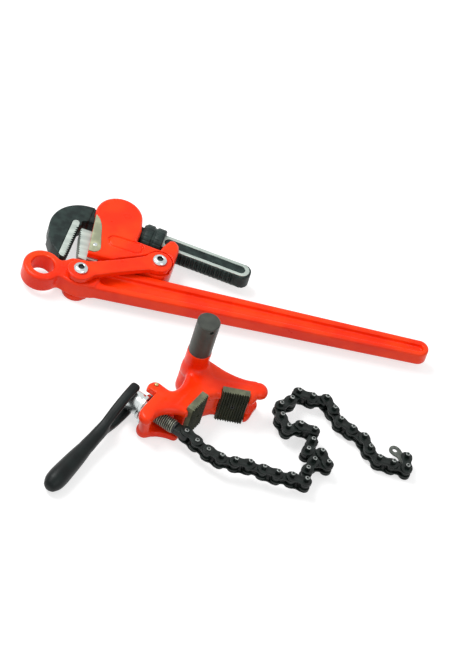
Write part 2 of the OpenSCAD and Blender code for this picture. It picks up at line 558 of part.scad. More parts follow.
// roller chain: outer links carry the pins, inner links the rollers, the last one is a plain end plate
module chain_plate(z0, hole, r = plate_radius) translate([0, 0, z0]) difference() {
    union() {
        for (x = [0, chain_pitch]) translate([x, 0, 0]) cylinder(r = r, h = plate_thickness, $fn = 32);
        linear_extrude(plate_thickness) polygon(concat(
            [for (i = [0:8]) let (x = chain_pitch * (0.1 + 0.8 * i / 8)) [x,
                r * (0.985 - 0.23 * pow(sin(180 * i / 8), 2))]],
            [for (i = [8:-1:0]) let (x = chain_pitch * (0.1 + 0.8 * i / 8)) [x,
                -r * (0.985 - 0.23 * pow(sin(180 * i / 8), 2))]]));
    }
    for (x = [0, chain_pitch]) translate([x, 0, -1]) cylinder(r = hole, h = plate_thickness + 2,
        $fn = 32);
}
module outer_link(i) {
    chain_plate(outer_in, chain_pin_r + 0.03);
    chain_plate(-outer_out, chain_pin_r + 0.03);
    for (k = [0, 1]) translate([k * chain_pitch, 0, -pin_low])
        cylinder(r = chain_pin_r, h = 2 * pin_low + (i + k >= 4 ? pin_extension - 1 : 0), $fn = 32);
}
module inner_link() {
    chain_plate(inner_half, chain_pin_r + 0.06);
    chain_plate(-inner_out, chain_pin_r + 0.06);
    for (x = [0, chain_pitch]) translate([x, 0, -inner_half + 0.05]) difference() {
        cylinder(r = 5.08, h = 2 * inner_half - 0.1, $fn = 32);
        translate([0, 0, -1]) cylinder(r = chain_pin_r + 0.06, h = 20, $fn = 32);
    }
}
module end_link() chain_plate(-plate_thickness / 2, chain_pin_r + 0.06);
module chain_link(i) color(dark) link_frame(i) {
    if (i == link_count) end_link();
    else if (i % 2 == 1) outer_link(i);
    else inner_link();
}

handle();
front_link();
rear_link();
pivot_bolts();
head_housing();
heel_jaw();
heel_jaw_plates();
heel_jaw_pin();
coil_spring();
flat_spring();
adjusting_nut();
hook_jaw();
trunnion_body();
trunnion_pin();
left_jaw_pad();
right_jaw_pad();
pad_screws();
nut_retainer();
retainer_pin();
swivel_nut();
crank_pins();
crank_handle();
chain_screw();
for (i = [1:link_count]) chain_link(i);

echo(bolt1 = bolt1, bolt2 = bolt2, wrench = [wrench_x, wrench_y, wrench_z]);
echo(p1_world = p1_world, axis_z = axis_z, sink = sink, droop = droop, boss_top = boss_top);
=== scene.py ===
"""Looks of a compound leverage pipe wrench and its chain trunnion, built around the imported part."""

import json
import math

import bmesh
import bpy
import numpy as np
from bpy.props import FloatProperty, IntProperty, PointerProperty, StringProperty
from mathutils import Matrix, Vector
from mathutils.geometry import tessellate_polygon


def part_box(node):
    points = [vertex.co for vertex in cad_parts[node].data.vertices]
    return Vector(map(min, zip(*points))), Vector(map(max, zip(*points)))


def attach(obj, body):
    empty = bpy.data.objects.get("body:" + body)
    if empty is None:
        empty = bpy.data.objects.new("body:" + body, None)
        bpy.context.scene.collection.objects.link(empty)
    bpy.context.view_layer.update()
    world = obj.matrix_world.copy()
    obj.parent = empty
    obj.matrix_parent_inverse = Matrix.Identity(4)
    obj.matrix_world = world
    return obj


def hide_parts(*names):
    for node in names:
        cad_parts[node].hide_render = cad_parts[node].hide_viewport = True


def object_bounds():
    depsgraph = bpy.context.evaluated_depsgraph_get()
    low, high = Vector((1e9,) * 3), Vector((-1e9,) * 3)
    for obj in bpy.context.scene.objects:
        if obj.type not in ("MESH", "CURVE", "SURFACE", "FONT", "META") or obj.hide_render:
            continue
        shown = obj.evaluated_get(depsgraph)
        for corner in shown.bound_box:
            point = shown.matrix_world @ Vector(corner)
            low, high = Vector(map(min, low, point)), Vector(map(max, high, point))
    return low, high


bl_info = {
    "name": "Pipe Wrench and Chain Trunnion",
    "version": (1, 0, 0),
    "blender": (4, 5, 0),
    "location": "View3D > Sidebar > Wrench",
    "description": "Dresses the packed wrench and trunnion with cast, forged and plated surfaces",
    "category": "Object",
}

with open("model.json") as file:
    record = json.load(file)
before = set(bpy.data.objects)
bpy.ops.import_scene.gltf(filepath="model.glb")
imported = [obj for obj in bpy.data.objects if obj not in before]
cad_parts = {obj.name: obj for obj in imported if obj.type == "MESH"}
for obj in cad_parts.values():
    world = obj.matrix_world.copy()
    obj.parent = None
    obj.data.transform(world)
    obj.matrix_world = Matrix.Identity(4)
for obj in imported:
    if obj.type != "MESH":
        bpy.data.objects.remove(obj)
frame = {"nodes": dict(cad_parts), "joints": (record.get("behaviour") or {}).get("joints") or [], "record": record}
CAD_BOX = [list(corner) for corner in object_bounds()]
JOINT = {j["name"]: np.array(j["pos_m"]) * 1000 for j in frame["joints"] if "pos_m" in j}
EYE = np.array(next(m["pos_m"] for m in frame["record"]["mounts"] if m["name"] == "handle_eye")) * 1000

# Layout of the part in millimetres and degrees, the same values as the source
# Handle: thickness, eye, and where the bar's upper edge and lower edge start and both end
THICK = 22.0
EYE_BORE = 13.0
EYE_RADIUS = 21.7
BAR_TOP = 31.6
BAR_LOW = 53.4
BAR_END = 424.1
# Links: half of the stack's thickness, the bolts and their fit, the links' lie, ends and middle height
STACK = 19.0
BOLT_R = 5.5
FIT = 0.05
LINK_LENGTH = 92.0
LINK_ANGLE = 23.45
LINK_END = 14.6
LINK_Z = 15.25
# A height clear of every casting, where a cut ends
BEYOND = 60.0
# Head: its lie, then in its own frame the bolt's boss, the shank, its slot, the nut, the lobe, the heel pin
HEAD_ANGLE = -11.3
BOLT2_HEAD = np.array([97.4, -40.2])
HEAD_BOSS = 16.2
SHANK_W = 24.6
SHANK_T = 19.0
SHANK_END = 196.0 - SHANK_W / 2
SLOT = 12.8
NUT_AT = 79.6
NUT_L = 25.0
NUT_R = 18.3
LOBE = np.array([36.7, 4.8])
LOBE_R = 26.5
HEEL_PIN = np.array([25.4, -50.5])
HEEL_PIN_R = 2.5
# Trunnion: its lie, the V, the screw's axis, the hood's mouth, the crank's pivot, the retainer's pin, the
# screw's radius and the place of the chain's first pin out of the left face
TRUNNION_ANGLE = -58.0
VEE_X = 44.0
VEE_HALF = 60.0
AXIS_Z = 23.0
AXIS_S = 54.0
HOOD_OUT = -46.0
PIVOT_N = -68.0
RETAINER = (34.0, -52.4)
RETAINER_R = 2.2
SCREW_R = 7.95
FIRST_PIN_N = 3.5
# Pads: near edge along the face, width, height and thickness
PAD_S = 9.5
PAD_W = 30.0
PAD_H = 46.0
PAD_T = 9.0
# Crank: reach, greatest radius of the grip and its place, gap left above the floor
CRANK_REACH = 155.0
GRIP_R = 11.3
BULGE = CRANK_REACH - 18
FLOOR_GAP = 0.3
# Chain: count of links, pitch, end radius of a plate, radius and half length of a pin without its extension
LINK_COUNT = 34
PITCH = 15.875
PLATE_R = 6.5
CHAIN_PIN_R = 2.54
PIN_END = 7.75


def shift(x=0.0, y=0.0, z=0.0):
    """Four by four matrix of a move."""
    m = np.eye(4)
    m[:3, 3] = (x, y, z)
    return m


def turn(axis, degrees):
    """Four by four matrix of a turn about the x, y or z axis."""
    c, s = math.cos(math.radians(degrees)), math.sin(math.radians(degrees))
    a, b = {"x": (1, 2), "y": (2, 0), "z": (0, 1)}[axis]
    m = np.eye(4)
    m[a, a], m[a, b], m[b, a], m[b, b] = c, -s, s, c
    return m


def aimed(a, b, up):
    """Frame at a whose x axis points to b and whose z axis is up."""
    ahead = (b - a) / np.linalg.norm(b - a)
    m = shift(*a)
    m[:3, :3] = np.stack([ahead, np.cross(up, ahead), up], 1)
    return m


MIRROR_Y = np.diag([1.0, -1.0, 1.0, 1.0])
WRENCH = shift(*EYE)
BOLT1 = (JOINT["links_swing"] - EYE)[:2]
BOLT2 = (JOINT["head_swing"] - EYE)[:2]
LINKS = WRENCH @ shift(BOLT1[0], BOLT1[1]) @ turn("z", LINK_ANGLE)
HEAD = WRENCH @ shift(BOLT2[0], BOLT2[1]) @ turn("z", HEAD_ANGLE) @ shift(-BOLT2_HEAD[0], -BOLT2_HEAD[1])
TRUNNION = turn("z", TRUNNION_ANGLE)
FACE = TRUNNION @ shift(VEE_X) @ turn("z", -VEE_HALF)
OTHER_FACE = TRUNNION @ MIRROR_Y @ shift(VEE_X) @ turn("z", -VEE_HALF)
SCREW = FACE @ shift(AXIS_S, 0, AXIS_Z) @ turn("x", -90)
DROOP = math.degrees(math.asin((AXIS_Z - GRIP_R - FLOOR_GAP) / BULGE))
SWIVEL = FACE @ shift(AXIS_S, PIVOT_N, AXIS_Z) @ turn("y", DROOP)
# Both holes of each chain link: its own pin and the next, and for the end plate the hole across its middle
CHAIN_UP = np.array(next(j["axis"] for j in frame["joints"] if j["name"] == "pin_02"))
PIN_AT = np.array([JOINT[f"pin_{i:02d}"] for i in range(1, LINK_COUNT + 1)])
END_HOLE = 2000 * np.mean(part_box(f"chain_link_{LINK_COUNT}"), 0) - PIN_AT[-1]
NEXT_AT = np.vstack([PIN_AT[1:], END_HOLE])
FACE_COS, FACE_SIN = math.cos(math.radians(VEE_HALF)), math.sin(math.radians(VEE_HALF))


# Outlines

def arc(centre, r, a, b, n=12):
    """Points on a circle from angle a to angle b."""
    t = np.radians(np.linspace(a, b, n + 1))
    return np.asarray(centre) + r * np.stack([np.cos(t), np.sin(t)], 1)


def spline(points, n=6):
    """Catmull-Rom curve through the points, each span the usual cubic of its four neighbours."""
    p = np.asarray(points, float)
    k = np.arange(len(p) - 1)
    a, b, c, d = p[np.maximum(k - 1, 0)], p[k], p[k + 1], p[np.minimum(k + 2, len(p) - 1)]
    t = (np.arange(n) / n)[None, :, None]
    a, b, c, d = (v[:, None, :] for v in (a, b, c, d))
    curve = 0.5 * (2 * b + (c - a) * t + (2 * a - 5 * b + 4 * c - d) * t**2 + (3 * b - a - 3 * c + d) * t**3)
    return np.concatenate([curve.reshape(-1, p.shape[1]), p[-1:]])


def racetrack(a, b, r, n=14):
    """Two half circles of radius r about a and b, joined by straight sides."""
    d = np.degrees(math.atan2(b[1] - a[1], b[0] - a[0]))
    return np.concatenate([arc(b, r, d - 90, d + 90, n), arc(a, r, d + 90, d + 270, n)])


def path(*parts):
    """Points and lists of points as one outline."""
    return np.concatenate([np.atleast_2d(np.asarray(p, float)) for p in parts])


def face_points(points):
    """Points of the left pad's face frame, s along the pad and n out of it, in the trunnion's plan."""
    s, n = np.asarray(points, float).T
    return np.stack([VEE_X + s * FACE_COS + n * FACE_SIN, n * FACE_COS - s * FACE_SIN], 1)


def saw(teeth, length, depth):
    """Places along a row of teeth and depths below their tips, one root and one tip for each tooth."""
    k = np.arange(2 * teeth)
    root = k % 2 == 0
    return (k // 2 + np.where(root, 0.15, 0.85)) / teeth * length, np.where(root, depth, 0.0)


# Distance fields of the castings

def grid(low, high, step):
    """Sample points of a box as three arrays that broadcast."""
    axes = [np.arange(a, b + step, step, dtype=np.float32) for a, b in zip(low, high)]
    return axes[0][:, None, None], axes[1][None, :, None], axes[2][None, None, :]


def outline_field(points, x, y):
    """Signed distance to a closed outline, negative where a ray crosses an odd count of its sides."""
    shape = np.broadcast_shapes(x.shape, y.shape)
    px = np.broadcast_to(x, shape).reshape(-1, 1).astype(np.float32)
    py = np.broadcast_to(y, shape).reshape(-1, 1).astype(np.float32)
    a = np.asarray(points, np.float32)
    b = np.roll(a, -1, 0)
    d = b - a
    t = ((px - a[:, 0]) * d[:, 0] + (py - a[:, 1]) * d[:, 1]) / np.maximum((d**2).sum(1), 1e-9)
    t = np.clip(t, 0, 1)
    near = np.sqrt(((px - a[:, 0] - t * d[:, 0]) ** 2 + (py - a[:, 1] - t * d[:, 1]) ** 2).min(1))
    spans = (a[:, 1] > py) != (b[:, 1] > py)
    run = np.where(np.abs(d[:, 1]) < 1e-9, 1e-9, d[:, 1])
    hits = spans & (px < d[:, 0] * (py - a[:, 1]) / run + a[:, 0])
    return np.where(hits.sum(1) % 2 == 1, -near, near).reshape(shape)


def plate(flat, z, low, high, edge):
    """A flat field carried from low to high, its two rims rounded to the radius edge."""
    a = flat + edge
    b = np.abs(z - (low + high) / 2) - (high - low) / 2 + edge
    return np.minimum(np.maximum(a, b), 0) + np.hypot(np.maximum(a, 0), np.maximum(b, 0)) - edge


def blend(a, b, k):
    """Union of two fields with a fillet of about k where they meet: the polynomial smooth least value."""
    h = np.clip(0.5 + 0.5 * (b - a) / k, 0, 1)
    return b + (a - b) * h - k * h * (1 - h)


def carve(a, b, k):
    """Field a less field b, the new rim eased by about k."""
    return -blend(-a, b, k)


def block(x, y, z, low, high):
    """Signed distance to a box, by the greatest of its six sides."""
    q = [np.abs(v - (a + b) / 2) - (b - a) / 2 for v, a, b in zip((x, y, z), low, high)]
    return np.maximum(np.maximum(q[0], q[1]), q[2])


def sample(field, g):
    """Field at points of the grid by the eight weights of each cell."""
    i = np.clip(np.floor(g).astype(int), 0, np.array(field.shape) - 2)
    f = g - i
    total = 0
    for a in (0, 1):
        for b in (0, 1):
            for c in (0, 1):
                w = np.abs(1 - a - f[:, 0]) * np.abs(1 - b - f[:, 1]) * np.abs(1 - c - f[:, 2])
                total = total + w * field[i[:, 0] + a, i[:, 1] + b, i[:, 2] + c]
    return total


def skin(field, low, step):
    """Surface net of a field: one point in each cell that the surface crosses, at the mean of the crossings
    on its edges, drawn onto the surface along the slope, and one quad around each grid edge that it
    crosses."""
    inside = field < 0
    n = np.array(field.shape)
    corner = [np.array([a, b, c]) for a in (0, 1) for b in (0, 1) for c in (0, 1)]
    count = sum(inside[a:n[0] - 1 + a, b:n[1] - 1 + b, c:n[2] - 1 + c].astype(np.int8) for a, b, c in corner)
    active = (count > 0) & (count < 8)
    index = np.full(active.shape, -1, np.int64)
    cells = np.argwhere(active)
    index[active] = np.arange(len(cells))
    total, hits = np.zeros((len(cells), 3)), np.zeros((len(cells), 1))
    for start in corner:
        for axis in range(3):
            if start[axis] == 0:
                end = start + np.eye(3, dtype=int)[axis]
                fa, fb = field[tuple((cells + start).T)], field[tuple((cells + end).T)]
                cross = ((fa < 0) != (fb < 0))[:, None]
                t = (fa / np.where(fa == fb, 1, fa - fb))[:, None]
                total += np.where(cross, start + t * np.eye(3)[axis], 0)
                hits += cross
    g = cells + total / hits
    slopes = np.gradient(field)
    for _ in range(3):
        slope = np.stack([sample(s, g) for s in slopes], 1)
        pull = sample(field, g)[:, None] * slope / np.maximum((slope**2).sum(1, keepdims=True), 0.05)
        g = g - np.clip(pull, -0.4, 0.4)
    faces = []
    for axis in range(3):
        u, v = (axis + 1) % 3, (axis + 2) % 3
        a, b = np.take(inside, range(n[axis] - 1), axis), np.take(inside, range(1, n[axis]), axis)
        keep = np.zeros(a.shape, bool)
        inner = [slice(1, -1)] * 3
        inner[axis] = slice(None)
        keep[tuple(inner)] = True
        e = np.argwhere((a != b) & keep)
        quad = []
        for du, dv in ((-1, -1), (0, -1), (0, 0), (-1, 0)):
            c = e.copy()
            c[:, u] += du
            c[:, v] += dv
            quad.append(index[tuple(c.T)])
        quad = np.stack(quad, 1)
        out = b[tuple(e.T)]
        quad[out] = quad[out][:, ::-1]
        faces.append(quad)
    return np.asarray(low) + step * g, [np.concatenate(faces)]


# Surfaces on a grid of two parameters

def tube_faces(rows, cols, close_rows=False, close_cols=True):
    """Quads between neighbouring rows and columns of a grid of points."""
    r = np.arange(rows if close_rows else rows - 1)
    c = np.arange(cols if close_cols else cols - 1)
    a, b = np.meshgrid(r, c, indexing="ij")
    a2, b2 = (a + 1) % rows, (b + 1) % cols
    return np.stack([a * cols + b, a * cols + b2, a2 * cols + b2, a2 * cols + b], -1).reshape(-1, 4)


def around(radius, height, n):
    """Points around z at each height, at one radius or at a radius for each of n angles."""
    t = np.linspace(0, 2 * math.pi, n, endpoint=False)
    r = np.broadcast_to(radius, (len(height), n))
    z = np.broadcast_to(np.reshape(height, (-1, 1)), r.shape)
    return np.stack([r * np.cos(t), r * np.sin(t), z], -1).reshape(-1, 3)


def lathe(profile, n=48):
    """Profile of radius and height turned about z. Ends on the axis close by a fan of thin quads."""
    p = np.asarray(profile, float)
    return around(p[:, :1], p[:, 1], n), [tube_faces(len(p), n)]


def ring_lathe(profile, n=48):
    """A closed profile of radius and height turned about z, for a piece with a bore."""
    points, _ = lathe(profile, n)
    return points, [tube_faces(len(profile), n, close_rows=True)]


def inset(loop, d):
    """Each point of a closed outline moved to its left by d, mitred between its two sides."""
    e = np.roll(loop, -1, 0) - loop
    e = e / np.maximum(np.linalg.norm(e, axis=1, keepdims=True), 1e-9)
    left = np.stack([-e[:, 1], e[:, 0]], 1)
    before = np.roll(left, 1, 0)
    return loop + d * (left + before) / np.maximum(1 + (left * before).sum(1, keepdims=True), 0.35)


def prism(outline, low, high, edge, holes=(), steps=3):
    """An outline carried from low to high, its rims rounded by rings that draw in on a quarter circle."""
    def wound(loop, ccw):
        """The outline, turned round where the sign of its area is not the one asked for."""
        x, y = loop[:, 0], loop[:, 1]
        area = (x * np.roll(y, -1) - np.roll(x, -1) * y).sum()
        return loop if (area > 0) == ccw else loop[::-1]

    loops = [wound(np.asarray(outline, float), True)] + [wound(np.asarray(h, float), False) for h in holes]
    t = np.linspace(0, math.pi / 2, steps + 1)
    draw = edge * (1 - np.sin(t))
    rise = edge * (1 - np.cos(t))
    draws = np.concatenate([draw, draw[::-1]])
    heights = np.concatenate([low + rise, (high - rise)[::-1]])
    points, quads, caps, base = [], [], [], 0
    for loop in loops:
        rings = [np.column_stack([inset(loop, d), np.full(len(loop), h)]) for d, h in zip(draws, heights)]
        points += rings
        quads.append(base + tube_faces(len(rings), len(loop)))
        caps.append((base, base + (len(rings) - 1) * len(loop), len(loop)))
        base += len(rings) * len(loop)
    v = np.concatenate(points)
    order = np.concatenate([np.arange(c[1], c[1] + c[2]) for c in caps])
    under = np.concatenate([np.arange(c[0], c[0] + c[2]) for c in caps])
    fill = np.array(tessellate_polygon([[tuple(p) + (0.0,) for p in v[c[1]:c[1] + c[2], :2]] for c in caps]))
    p = v[order][:, :2][fill]
    side = np.cross(p[:, 1] - p[:, 0], p[:, 2] - p[:, 0])
    fill[side < 0] = fill[side < 0][:, ::-1]
    return v, [np.concatenate(quads), order[fill], under[fill][:, ::-1]]


def tube(points, r, n=10):
    """A circle of radius r carried along a path, its ends closed by a small ring."""
    p = np.asarray(points, float)
    d = np.gradient(p, axis=0)
    d = d / np.linalg.norm(d, axis=1, keepdims=True)
    side = np.cross(d, [0.0, 1.0, 0.0])
    side = side / np.linalg.norm(side, axis=1, keepdims=True)
    up = np.cross(side, d)
    t = np.linspace(0, 2 * math.pi, n, endpoint=False)
    radii = np.concatenate([[r * 0.05], np.full(len(p), r), [r * 0.05]])
    p, side, up = (np.concatenate([a[:1], a, a[-1:]]) for a in (p, side, up))
    spoke = np.cos(t)[:, None] * side[:, None] + np.sin(t)[:, None] * up[:, None]
    ring = p[:, None] + radii[:, None, None] * spoke
    return ring.reshape(-1, 3), [tube_faces(len(p), n)]


def placed(surface, matrix):
    """A surface moved by a matrix, its faces turned round where the matrix mirrors."""
    v, faces = surface
    out = v @ matrix[:3, :3].T + matrix[:3, 3]
    if np.linalg.det(matrix[:3, :3]) < 0:
        faces = [f[:, ::-1] for f in faces]
    return out, faces


def piece(name, surfaces, body, finish, node, slot, sharp):
    """One object from surfaces in millimetres, each with the number of its finish or a number for each group.
    It rides on the body and stands for the CAD node, and edges sharper than the angle stay crisp."""
    points, faces, marks, base = [], [], [], 0
    for (v, groups), mark in surfaces:
        points.append(v)
        for f, m in zip(groups, mark if isinstance(mark, tuple) else (mark,) * len(groups)):
            faces += (np.asarray(f) + base).tolist()
            marks.append(np.full(len(f), m, np.int32))
        base += len(v)
    mesh = bpy.data.meshes.new(name)
    mesh.from_pydata((np.concatenate(points) / 1000).tolist(), [], faces)
    mesh.polygons.foreach_set("material_index", np.concatenate(marks))
    for m in finish if isinstance(finish, list) else [finish]:
        mesh.materials.append(m)
    mesh.validate()
    mesh.shade_smooth()
    if sharp:
        mesh.set_sharp_from_angle(angle=math.radians(sharp))
    obj = bpy.data.objects.new(name, mesh)
    bpy.context.scene.collection.objects.link(obj)
    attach(obj, body)
    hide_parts(node)
    return obj


def solid(name, surface, at, *rest):
    """A piece of one surface, placed by a matrix, with one finish."""
    return piece(name, [(placed(surface, at), 0)], *rest)


def coat(node, material):
    """A finish for a CAD node that stays as it is."""
    data = frame["nodes"][node].data
    data.materials.clear()
    data.materials.append(material)


# Finishes

def linear(text):
    """An sRGB hex colour as linear red, green, blue and alpha."""
    c = np.array([int(text[i:i + 2], 16) for i in (1, 3, 5)]) / 255
    c = np.where(c <= 0.04045, c / 12.92, ((c + 0.055) / 1.055) ** 2.4)
    return (*c.tolist(), 1.0)


def cleared(owner):
    """The node tree of a material or a world, emptied."""
    owner.use_nodes = True
    owner.node_tree.nodes.clear()
    return owner.node_tree


def add(tree, kind, settings=(), inputs=(), links=()):
    """One shader node with its settings and input values, linked from (node, socket) pairs."""
    node = tree.nodes.new(kind)
    for key, value in dict(settings).items():
        setattr(node, key, value)
    for key, value in dict(inputs).items():
        node.inputs[key].default_value = value
    for key, (source, socket) in dict(links).items():
        tree.links.new(source.outputs[socket], node.inputs[key])
    return node


def per_metre(mm):
    """Scale of a noise whose features are about this many millimetres across."""
    return 1000.0 / mm


def finish(name, low, high, patch_mm, rough, grain_mm, grain, metallic=0.0, specular=0.5,
           stretch=(1, 1, 1), **sockets):
    """A finish on object coordinates: two tones in patches, roughness that follows them, and a fine bump."""
    m = bpy.data.materials.new(name)
    tree = cleared(m)
    place = add(tree, "ShaderNodeTexCoord")
    lie = add(tree, "ShaderNodeMapping", inputs={"Scale": stretch}, links={"Vector": (place, "Object")})
    patch = add(tree, "ShaderNodeTexNoise", inputs={"Scale": per_metre(patch_mm), "Detail": 3.0},
                links={"Vector": (lie, "Vector")})
    tone = add(tree, "ShaderNodeValToRGB", links={"Fac": (patch, "Fac")})
    tone.color_ramp.interpolation = "EASE"
    for stop, place_at, colour in zip(tone.color_ramp.elements, (0.32, 0.68), (low, high)):
        stop.position = place_at
        stop.color = linear(colour)
    sheen = add(tree, "ShaderNodeMapRange", inputs={"To Min": rough[0], "To Max": rough[1]},
                links={"Value": (patch, "Fac")})
    fine = add(tree, "ShaderNodeTexNoise", inputs={"Scale": per_metre(grain_mm), "Detail": 2.0},
               links={"Vector": (lie, "Vector")})
    bump = add(tree, "ShaderNodeBump", inputs={"Strength": grain, "Distance": 0.0004},
               links={"Height": (fine, "Fac")})
    shader = add(tree, "ShaderNodeBsdfPrincipled",
                 inputs={"Metallic": metallic, "Specular IOR Level": specular, **sockets},
                 links={"Base Color": (tone, "Color"), "Roughness": (sheen, "Result"),
                        "Normal": (bump, "Normal")})
    add(tree, "ShaderNodeOutputMaterial", links={"Surface": (shader, "BSDF")})
    return m


FINISHES = {}


def finishes():
    """The finishes of the whole part, made once from the colours in the panel."""
    if FINISHES:
        return FINISHES
    c = bpy.context.scene.wrench_finish
    FINISHES.update(
        # Gloss enamel on cast iron: a wet gloss over a slightly uneven skin, a little lighter where it pools
        enamel=finish("red_gloss_enamel", c.enamel, c.enamel_light, 35, (0.24, 0.34), 2.6, 0.10, specular=0.2,
                      **{"Coat Weight": 0.06, "Coat Roughness": 0.1}),
        # Phosphated forged steel: dark green black, satin, with a fine crystal grain
        phosphate=finish("phosphated_steel", c.phosphate, c.phosphate_light, 9, (0.36, 0.5), 0.7, 0.16,
                         specular=0.2),
        # Ground bare steel: pale, with grinding lines drawn about 0.8 mm apart so that they show
        ground=finish("ground_steel", "#a8b4ad", "#bfcac2", 9, (0.34, 0.44), 0.8, 0.08, metallic=0.5,
                      stretch=(0.25, 1.6, 1.0)),
        # Tempered plate: olive grey, soft sheen
        leaf=finish("tempered_plate", "#8f947a", "#b3b796", 12, (0.35, 0.48), 0.9, 0.1, metallic=0.45),
        # Zinc plate on turned steel: bright, with a faint cloud
        zinc=finish("zinc_plate", "#c0c8c8", "#dfe4e3", 14, (0.17, 0.25), 0.8, 0.015, metallic=1.0),
        # Black oxide on turned bar: dark grey, satin
        oxide=finish("black_oxide_bar", "#3e413d", "#4b4e48", 16, (0.34, 0.46), 0.6, 0.1, specular=0.2),
        # Oil blacked tool steel of the pads' toothed faces, satin: dark olive, made darker as painted shade in the
        # teeth
        olive=finish("oil_blacked_steel_painted_shade", "#2a2d22", "#3c3f2e", 8, (0.36, 0.5), 0.6, 0.1, specular=0.2),
        # The same steel on the pads' sides and backs: a paler olive grey, painted light on those faces
        milled=finish("milled_olive_steel", "#5b5e4b", "#73775f", 6, (0.4, 0.52), 0.6, 0.1, specular=0.25),
        # Dipped vinyl: black, soft, with a faint orange peel
        vinyl=finish("dipped_vinyl", c.vinyl, c.vinyl_light, 18, (0.36, 0.48), 1.6, 0.12, specular=0.2),
        # Oiled chain steel: near black with a light sheen
        chain=finish("oiled_chain_steel", "#0a0f0d", "#17201d", 6, (0.28, 0.42), 0.6, 0.1, specular=0.25),
        # End plate of the chain: the oil is worn off, so it is a plain grey
        worn=finish("worn_chain_steel", "#4a4f4a", "#666b65", 5, (0.34, 0.46), 0.6, 0.1, specular=0.25),
        # Oiled steel of the chain screw: a warm grey with a low shine
        thread=finish("oiled_bright_steel", "#6f7265", "#999c8d", 5, (0.3, 0.42), 0.6, 0.05, metallic=0.6),
        # Bare rivet ends: bright, cut steel
        rivet=finish("rivet_end_steel", "#6c716e", "#a4a9a6", 2, (0.25, 0.4), 0.5, 0.1, metallic=0.8),
        # Yellow chromate on the retainer's pin
        brass=finish("yellow_chromate", "#a58d58", "#c9b27c", 4, (0.25, 0.38), 0.5, 0.08, metallic=0.7),
        # Spring steel, blued grey
        spring=finish("spring_steel", "#6f7577", "#979d9e", 4, (0.25, 0.35), 0.5, 0.06, metallic=0.9),
        # Shadowed sockets and thread roots
        recess=finish("socket_shadow", "#1b1d1d", "#303333", 3, (0.4, 0.55), 0.5, 0.1, metallic=0.3))
    return FINISHES


class WrenchShape(bpy.types.PropertyGroup):
    """Sizes of the dressed surfaces that a user may change."""

    cast_edge: FloatProperty(name="Casting edge", description="Radius of the castings' outer edges, mm",
                             default=2.8, min=0.5, max=4.0)
    cast_fillet: FloatProperty(name="Casting fillet", description="Radius where walls of a casting meet, mm",
                               default=4.0, min=0.5, max=8.0)
    cell: FloatProperty(name="Casting cell", description="Grid step of the castings' surface, mm",
                        default=0.85, min=0.6, max=2.0)
    nut_ribs: IntProperty(name="Nut ribs", description="Ribs around the adjusting nut",
                          default=24, min=12, max=40)
    pad_rows: IntProperty(name="Pad teeth", description="Upright teeth across a jaw pad",
                          default=11, min=6, max=16)


class WrenchFinish(bpy.types.PropertyGroup):
    """Colours that a user may change, as sRGB hex."""

    enamel: StringProperty(name="Enamel", description="Colour of the painted castings", default="#f02c04")
    enamel_light: StringProperty(name="Enamel, light", description="Paler tone of the enamel",
                                 default="#ff3f0c")
    phosphate: StringProperty(name="Phosphate", description="Colour of the forged hook and nut",
                              default="#172120")
    phosphate_light: StringProperty(name="Phosphate, light", description="Paler tone of the forged steel",
                                    default="#283633")
    vinyl: StringProperty(name="Vinyl", description="Colour of the crank's dip", default="#050a0a")
    vinyl_light: StringProperty(name="Vinyl, light", description="Paler tone of the crank's dip",
                                default="#0c1514")


# Handle, links and head

def upper_edge(u):
    """Upper edge of the bar above a place along it."""
    return 19.2 - 8.2 * (u - BAR_TOP) / (BAR_END - BAR_TOP)


def lower_edge(u):
    """Lower edge of the bar below a place along it."""
    return -16.9 + 5.8 * (u - BAR_LOW) / (BAR_END - BAR_LOW)


class WRENCH_OT_handle(bpy.types.Operator):
    """Forged handle: eye, pivot boss and a bar with a sunk web on both sides"""

    bl_idname = "wrench.handle"
    bl_label = "Handle"

    def execute(self, context):
        sizes = context.scene.wrench_shape
        looks = finishes()

        def web_end(u, drop, rims, a, b, n):
            """Round end of the web at a place along the bar, inside its two flanges."""
            top, under = upper_edge(u), lower_edge(u)
            return arc((u, (top + under - drop) / 2), (top - under - rims) / 2, a, b, n)

        step = sizes.cell * 1.1
        low = (-24, -24, -13)
        x, y, z = grid(low, (438, 24, 13), step)
        ring = plate(np.hypot(x, y) - EYE_RADIUS, z, -THICK / 2, THICK / 2, 3.4)
        boss = path([4, 14],
                    spline([[10, 16.5], [17, 12.6], [24, 14.4], [BAR_TOP, 19.4], [42, 19.7], [52, 19.4]]),
                    [[60, 18], [66, 0], [60, -15.8]],
                    spline([[BAR_LOW, -17.2], [42, -18.6], [30, -15.4], [20, -11.6], [10, -14.4]]), [4, -13])
        neck = plate(outline_field(boss, x, y), z, -THICK / 2, THICK / 2, sizes.cast_edge)
        side = path([44, upper_edge(44)], arc([BAR_END, 0], 11.2, 79, -82, 20),
                    [[BAR_LOW, lower_edge(BAR_LOW)], [44, -10]])
        bar = plate(outline_field(side, x, y), z, -9, 9, sizes.cast_edge)
        web = path(web_end(72, 2, 18, 270, 90, 14), web_end(BAR_END, 1.6, 12.4, 90, -90, 12))
        sunk = plate(outline_field(web, x, y), np.abs(z), 4, BEYOND, 2.2)
        f = blend(blend(ring, neck, 2.5), bar, 2.0)
        f = carve(f, sunk, 1.8)
        f = carve(f, np.hypot(x, y) - EYE_BORE, 1.2)
        f = np.maximum(f, BOLT_R + FIT - np.hypot(x - BOLT1[0], y - BOLT1[1]))
        solid("forged_handle", skin(f, low, step), WRENCH, "handle", looks["enamel"], "handle", "red_enamel",
              0)
        return {"FINISHED"}


